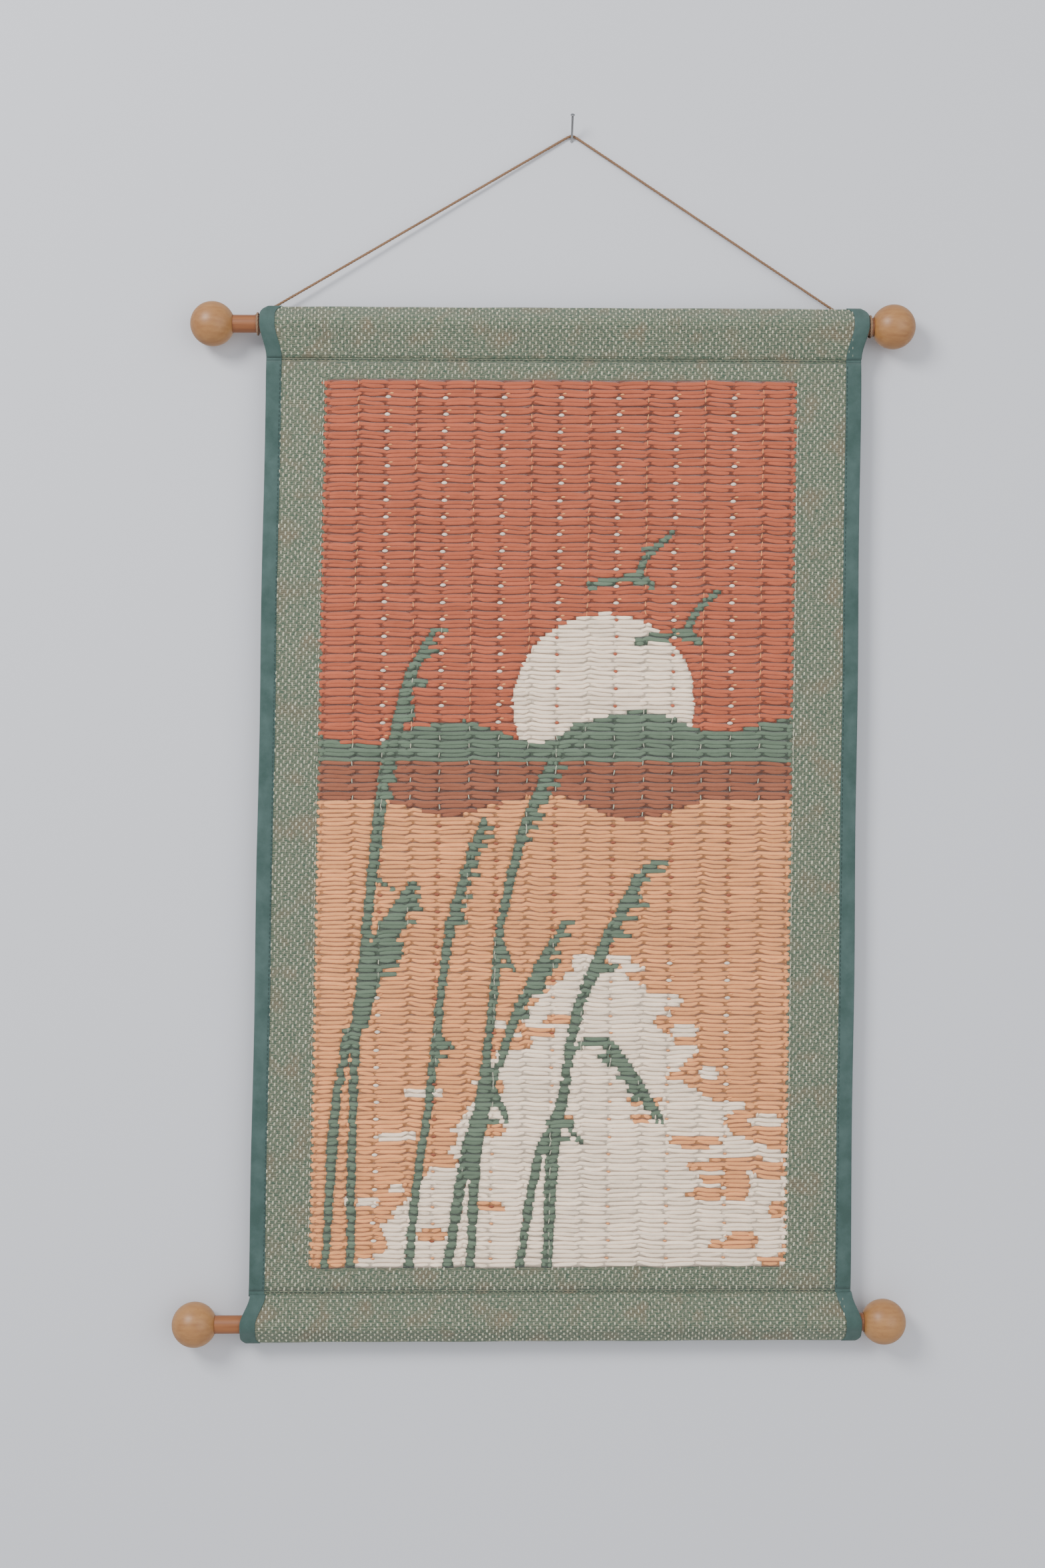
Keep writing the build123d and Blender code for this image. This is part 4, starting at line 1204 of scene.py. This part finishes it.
tick_row, tick_column = (grid.ravel() for grid in np.meshgrid(np.arange(ROWS), np.arange(0, 17),
                                                              indexing="ij"))
tick_u = FIRST_COLUMN + COLUMN * tick_column + rng.normal(0, 0.25, tick_row.size)
tick_u = np.where(tick_column == 0, -0.9, np.where(tick_column == 16, PICTURE_WIDE / MM + 0.9, tick_u))
tick_d = (tick_row + 0.5) * PICK
tick_region = region_at(tick_u, tick_d)
chance = rng.random(tick_row.size)
inner = (tick_column > 0) & (tick_column < 16)
fourth = tick_row % 4 == np.where(tick_column % 2 == 1, 1, 3)
dark_band = np.isin(tick_region, (HILL, SHORE)) & fourth & (chance < 0.9)
sky_tick = inner & (tick_region == SKY) & (tick_column % 2 == 1) & (tick_row % 2 == 0) & (chance < 0.85)
edge_tick = ~inner & (tick_row % 2 == 0)
reed_tick = (tick_region == REED) & (chance < 0.3)
pale_tick = inner & (dark_band | reed_tick) | edge_tick
for name, keep, material, slot in (("picture_warp_ticks", pale_tick, WARP, "cream_yarn"),
                                   ("sky_warp_ticks", sky_tick, APRICOT, "apricot_yarn")):
    u, d = tick_u[keep], tick_d[keep]
    count = u.size
    lean = rng.normal(0.1, 0.25, count)
    start, end = (picture_point(u + sign * lean, d - 1.8 * sign,
                                CLOTH_THICK / 2 + 0.45 * MM) for sign in (-1, 1))
    table = spindles(start, end, np.broadcast_to(np.array([0.0, -1.0, 0.0]), (count, 3)),
                     np.full(count, 0.42 * MM),
                     np.full(count, 0.4 * MM), np.broadcast_to(TICK_PLACES, (count, 4)), TICK_SWELL,
                     TICK_RISE, 4)
    place_piece(name, table, material, "panel", slot, shade=np.repeat(rng.uniform(-0.2, 0.12, count), 16))
    print(f"{name}: {count}")


# %% [markdown]
# ## Binding and stitches
# Teal tape is folded over the raw edge of the cloth and sewn down along its inner edge. Its section
# is a flat U with a rounded outer edge. On the panel it is carried straight down the edge, and at
# each mouth of a sleeve it is carried round the almond outline.

# %% Binding material
BINDING, bind_tree, bind = new_material("teal tape")
tape_place = put(bind_tree, "ShaderNodeUVMap", uv_map="Thread").outputs[0]
tape_split = put(bind_tree, "ShaderNodeSeparateXYZ", {0: tape_place})
warp_wave = calc(bind_tree, "SINE", calc(bind_tree, "MULTIPLY",
                                         calc(bind_tree, "ADD", tape_split.outputs[0],
                                              tape_split.outputs[1]), 2 * math.pi / 0.42))
weft_wave = calc(bind_tree, "SINE", calc(bind_tree, "MULTIPLY",
                                         calc(bind_tree, "SUBTRACT", tape_split.outputs[0],
                                              tape_split.outputs[1]), 2 * math.pi / 0.42))
tape_height = calc(bind_tree, "MULTIPLY", warp_wave, weft_wave)
tape_cloud = put(bind_tree, "ShaderNodeTexNoise",
                 {"Vector": tape_place, "Scale": 0.06, "Detail": 4.0, "Roughness": 0.6}).outputs[0]
tape_fleck = put(bind_tree, "ShaderNodeTexNoise",
                 {"Vector": tape_place, "Scale": 2.2, "Detail": 2.0}).outputs[0]
tape_colour = blend_colour(bind_tree, ramp(bind_tree, tape_cloud, 0.35, 0.65), srgb(57, 80, 75),
                           srgb(75, 97, 93))
tape_colour = blend_colour(bind_tree, calc(bind_tree, "MULTIPLY", ramp(bind_tree, tape_fleck, 0.5, 0.8),
                                           0.25), tape_colour, srgb(98, 116, 110))
bind_tree.links.new(tape_colour, bind.inputs["Base Color"])
bind.inputs["Roughness"].default_value = 0.8
bind.inputs["Specular IOR Level"].default_value = 0.2
bind.inputs["Sheen Weight"].default_value = 0.15
bump(bind_tree, bind, tape_height, 0.5, 0.08 * MM)

HALF_TAPE = CLOTH_THICK / 2 + BINDING_THICK


def tape_section(width, half_out, thickness, outer_points=7):
    """The folded tape's closed section as (distance in from the edge, out from the middle)."""
    turn = np.linspace(math.pi / 2, -math.pi / 2, outer_points)
    outer = np.stack([half_out - half_out * np.cos(turn), half_out * np.sin(turn)], -1)
    inner_half = half_out - thickness
    inner = np.stack([half_out - inner_half * np.cos(turn[::-1]), inner_half * np.sin(turn[::-1])], -1)
    front = [[width, half_out * 0.86], [width - 0.35 * MM, half_out], [width * 0.72, half_out],
             [width * 0.4, half_out]]
    back = [[width * 0.4, -half_out], [width * 0.72, -half_out], [width - 0.35 * MM, -half_out],
            [width, -half_out * 0.86]]
    return np.array(front + outer.tolist() + back + [[width, -inner_half]] + inner.tolist()
                    + [[width, inner_half]])


SECTION = tape_section(BINDING_WIDTH, HALF_TAPE, BINDING_THICK)
SECTION = SECTION if len(SECTION) % 2 == 0 else SECTION[:-1]
section_step = np.concatenate([[0], np.cumsum(np.linalg.norm(np.diff(SECTION, axis=0), axis=1))]) / MM


def panel_tape(side, heights):
    """Tape down one edge of the panel, drawn in a little at each stitch."""
    sign = -1 if side == "left" else 1
    z = heights[:, None]
    inward, out = SECTION[:, 0], SECTION[:, 1]
    seamward = np.exp(-(panel_top - z) / (6 * MM)) + np.exp(-(z - panel_bottom) / (6 * MM))
    strain = 0.25 * MM * np.sin(z / (31 * MM) + sign) * (1 - np.clip(seamward, 0, 1))
    across = sign * (CLOTH_WIDTH / 2 - inward + strain + 0.0 * out)
    pinch = 1 - 0.06 * (inward > 6 * MM) * (0.5 + 0.5 * np.sin(z / (0.5 * MM)))
    points = on_panel(across, z + 0.0 * inward, out * pinch)
    count, around = len(z), len(SECTION)
    flip = side == "left"
    faces = np.concatenate([ring_faces(count, around, flip=not flip), end_faces(around, 0, flip=not flip),
                            end_faces(around, (count - 1) * around, flip=flip)])
    uv = np.stack(np.broadcast_arrays(z / MM, section_step), -1).reshape(-1, 2)
    return points.reshape(-1, 3), faces, uv


def sleeve_tape(name, side):
    """Tape round one mouth of a sleeve: the section stands across the cloth's middle layer."""
    ring, normal, places, total = OUTLINES[name]
    middle = BINDING_THICK + CLOTH_THICK / 2
    inward, out = SECTION[:, 0], SECTION[:, 1]
    yz = ring[:, None] + normal[:, None] * (middle + out)[:, None]
    x = sleeve_x(name, side, ring[:, 1][:, None], inward) + 0.15 * MM * np.sin(places / (9 * MM))[:, None]
    points = np.concatenate([x[..., None], yz], -1)
    count, around = x.shape
    faces = ring_faces(count, around)
    here, after = np.arange(around), (np.arange(around) + 1) % around
    last = (count - 1) * around
    faces = np.concatenate([faces, np.stack([last + here, last + after, after, here], -1)])
    faces = faces[:, ::-1] if side == "right" else faces
    uv = np.stack(np.broadcast_arrays(places[:, None] / MM, section_step), -1).reshape(-1, 2)
    return points.reshape(-1, 3), faces, uv


for side in ("left", "right"):
    tape = place_piece(f"panel_tape_{side}", panel_tape(side, np.linspace(panel_top, panel_bottom, 260)),
                       BINDING, "panel", "binding_tape", f"panel_binding_{side}")
    for name, body in (("upper", "hanger"), ("lower", "lower_hem")):
        tape = place_piece(f"{name}_sleeve_tape_{side}", sleeve_tape(name, side), BINDING, body,
                           "binding_tape",
                           f"{name}_sleeve_binding_{side}")
        lip_tape = place_piece(f"{name}_lip_tape_{side}", panel_tape(side, LIP_HEIGHTS[name]), BINDING,
                               None, "binding_tape")
        bend_lip(lip_tape)


# %% Stitches
def stitches(name, start, end, out, material, body, slot, *nodes):
    """Short stitches lying on the cloth, with both ends sunk in."""
    count = len(start)
    places = np.broadcast_to(np.array([0.0, 0.2, 0.5, 0.8, 1.0]), (count, 5))
    table = spindles(start, end, out, np.full(count, 0.24 * MM), np.full(count, 0.24 * MM), places,
                     np.array([0.6, 1, 1, 1, 0.6]), np.array([-0.9, 0.3, 0.6, 0.3, -0.9]), 4)
    return place_piece(name, table, material, body, slot, *nodes)


STITCH, STITCH_GAP = 2.5 * MM, 0.6 * MM
for side, sign in (("left", -1), ("right", 1)):
    z = np.arange(panel_bottom + 1 * MM, panel_top - STITCH, STITCH + STITCH_GAP)
    across = np.full(z.size, sign * (CLOTH_WIDTH / 2 - BINDING_WIDTH + 0.9 * MM))
    front = np.broadcast_to(np.array([0.0, -1.0, 0.0]), (z.size, 3))
    stitches(f"binding_stitches_{side}", on_panel(across, z, HALF_TAPE),
             on_panel(across, z + STITCH, HALF_TAPE), front, SEWING,
             "panel", "sewing_thread", f"binding_thread_{side}")
    stitches(f"binding_stitches_back_{side}", on_panel(across, z, -HALF_TAPE),
             on_panel(across, z + STITCH, -HALF_TAPE), -front,
             SEWING, "panel", "sewing_thread")

for name, body in (("upper", "hanger"), ("lower", "lower_hem")):
    low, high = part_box(f"{name}_seam_thread")
    x = np.arange(low[0], high[0] - STITCH, STITCH + STITCH_GAP)
    crease = panel_top + 0.9 * MM if name == "upper" else panel_bottom - 0.9 * MM
    start = np.stack([x, np.full(x.size, ROD_Y - CLOTH_THICK / 2 - 0.1 * MM), np.full(x.size, crease)], -1)
    front = np.broadcast_to(np.array([0.0, -1.0, 0.0]), (x.size, 3))
    stitches(f"{name}_seam_stitches", start, start + np.array([STITCH, 0, 0]), front, SEAM, body,
             "sewing_thread", f"{name}_seam_thread")

# %% [markdown]
# ## Stage
# A pale wall that can be seen through from behind, a pale floor far below, and soft light from the
# upper left, as in a bright room. The wall throws no shadow and no light back, so that the back of
# the hanging can be looked at too.

# %% Wall, floor and light
WALL, wall_tree, wall_shader = new_material("wall paint")
wall_shader.inputs["Base Color"].default_value = srgb(206, 207, 212)
wall_shader.inputs["Roughness"].default_value = 0.95
clear = put(wall_tree, "ShaderNodeBsdfTransparent")
behind = put(wall_tree, "ShaderNodeMixShader",
             {0: put(wall_tree, "ShaderNodeNewGeometry").outputs["Backfacing"],
                                                1: wall_shader.outputs[0], 2: clear.outputs[0]})
wall_tree.links.new(behind.outputs[0], wall_tree.nodes["Material Output"].inputs["Surface"])
WALL_HALF, FLOOR_Z, CEILING_Z = 3.0, -1.6, 1.4
wall = add_mesh("wall", [(-WALL_HALF, 0, FLOOR_Z), (WALL_HALF, 0, FLOOR_Z), (WALL_HALF, 0, CEILING_Z),
                         (-WALL_HALF, 0, CEILING_Z)],
                [(0, 1, 2, 3)], WALL)
wall.visible_diffuse = False
wall.visible_glossy = False
wall.visible_shadow = False
FLOOR, _, floor_shader = new_material("floor")
floor_shader.inputs["Base Color"].default_value = srgb(214, 213, 212)
floor_shader.inputs["Roughness"].default_value = 0.9
floor = add_mesh("floor", [(-WALL_HALF, -4, FLOOR_Z), (WALL_HALF, -4, FLOOR_Z), (WALL_HALF, 3, FLOOR_Z),
                           (-WALL_HALF, 3, FLOOR_Z)],
                 [(0, 1, 2, 3)], FLOOR)


def area_light(name, place, toward, size, power):
    """A soft square light that looks at a point."""
    data = bpy.data.lights.new(name, "AREA")
    data.shape = "SQUARE"
    data.size = size
    data.energy = power
    lamp = bpy.data.objects.new(name, data)
    lamp.location = place
    direction = np.asarray(toward) - np.asarray(place)
    lamp.rotation_euler = (math.acos(-direction[2] / np.linalg.norm(direction)), 0,
                           math.atan2(-direction[0], direction[1]))
    bpy.context.scene.collection.objects.link(lamp)


MIDDLE = (0.0, 0.0, -0.45)
area_light("window", (-1.3, -1.7, 0.7), MIDDLE, 0.8, 48)
area_light("room", (1.6, -2.2, -0.2), MIDDLE, 2.4, 30)
world = bpy.data.worlds.new("room light")
world.use_nodes = True
world.node_tree.nodes["Background"].inputs["Color"].default_value = (0.92, 0.95, 1.0, 1)
world.node_tree.nodes["Background"].inputs["Strength"].default_value = 0.8
bpy.context.scene.world = world
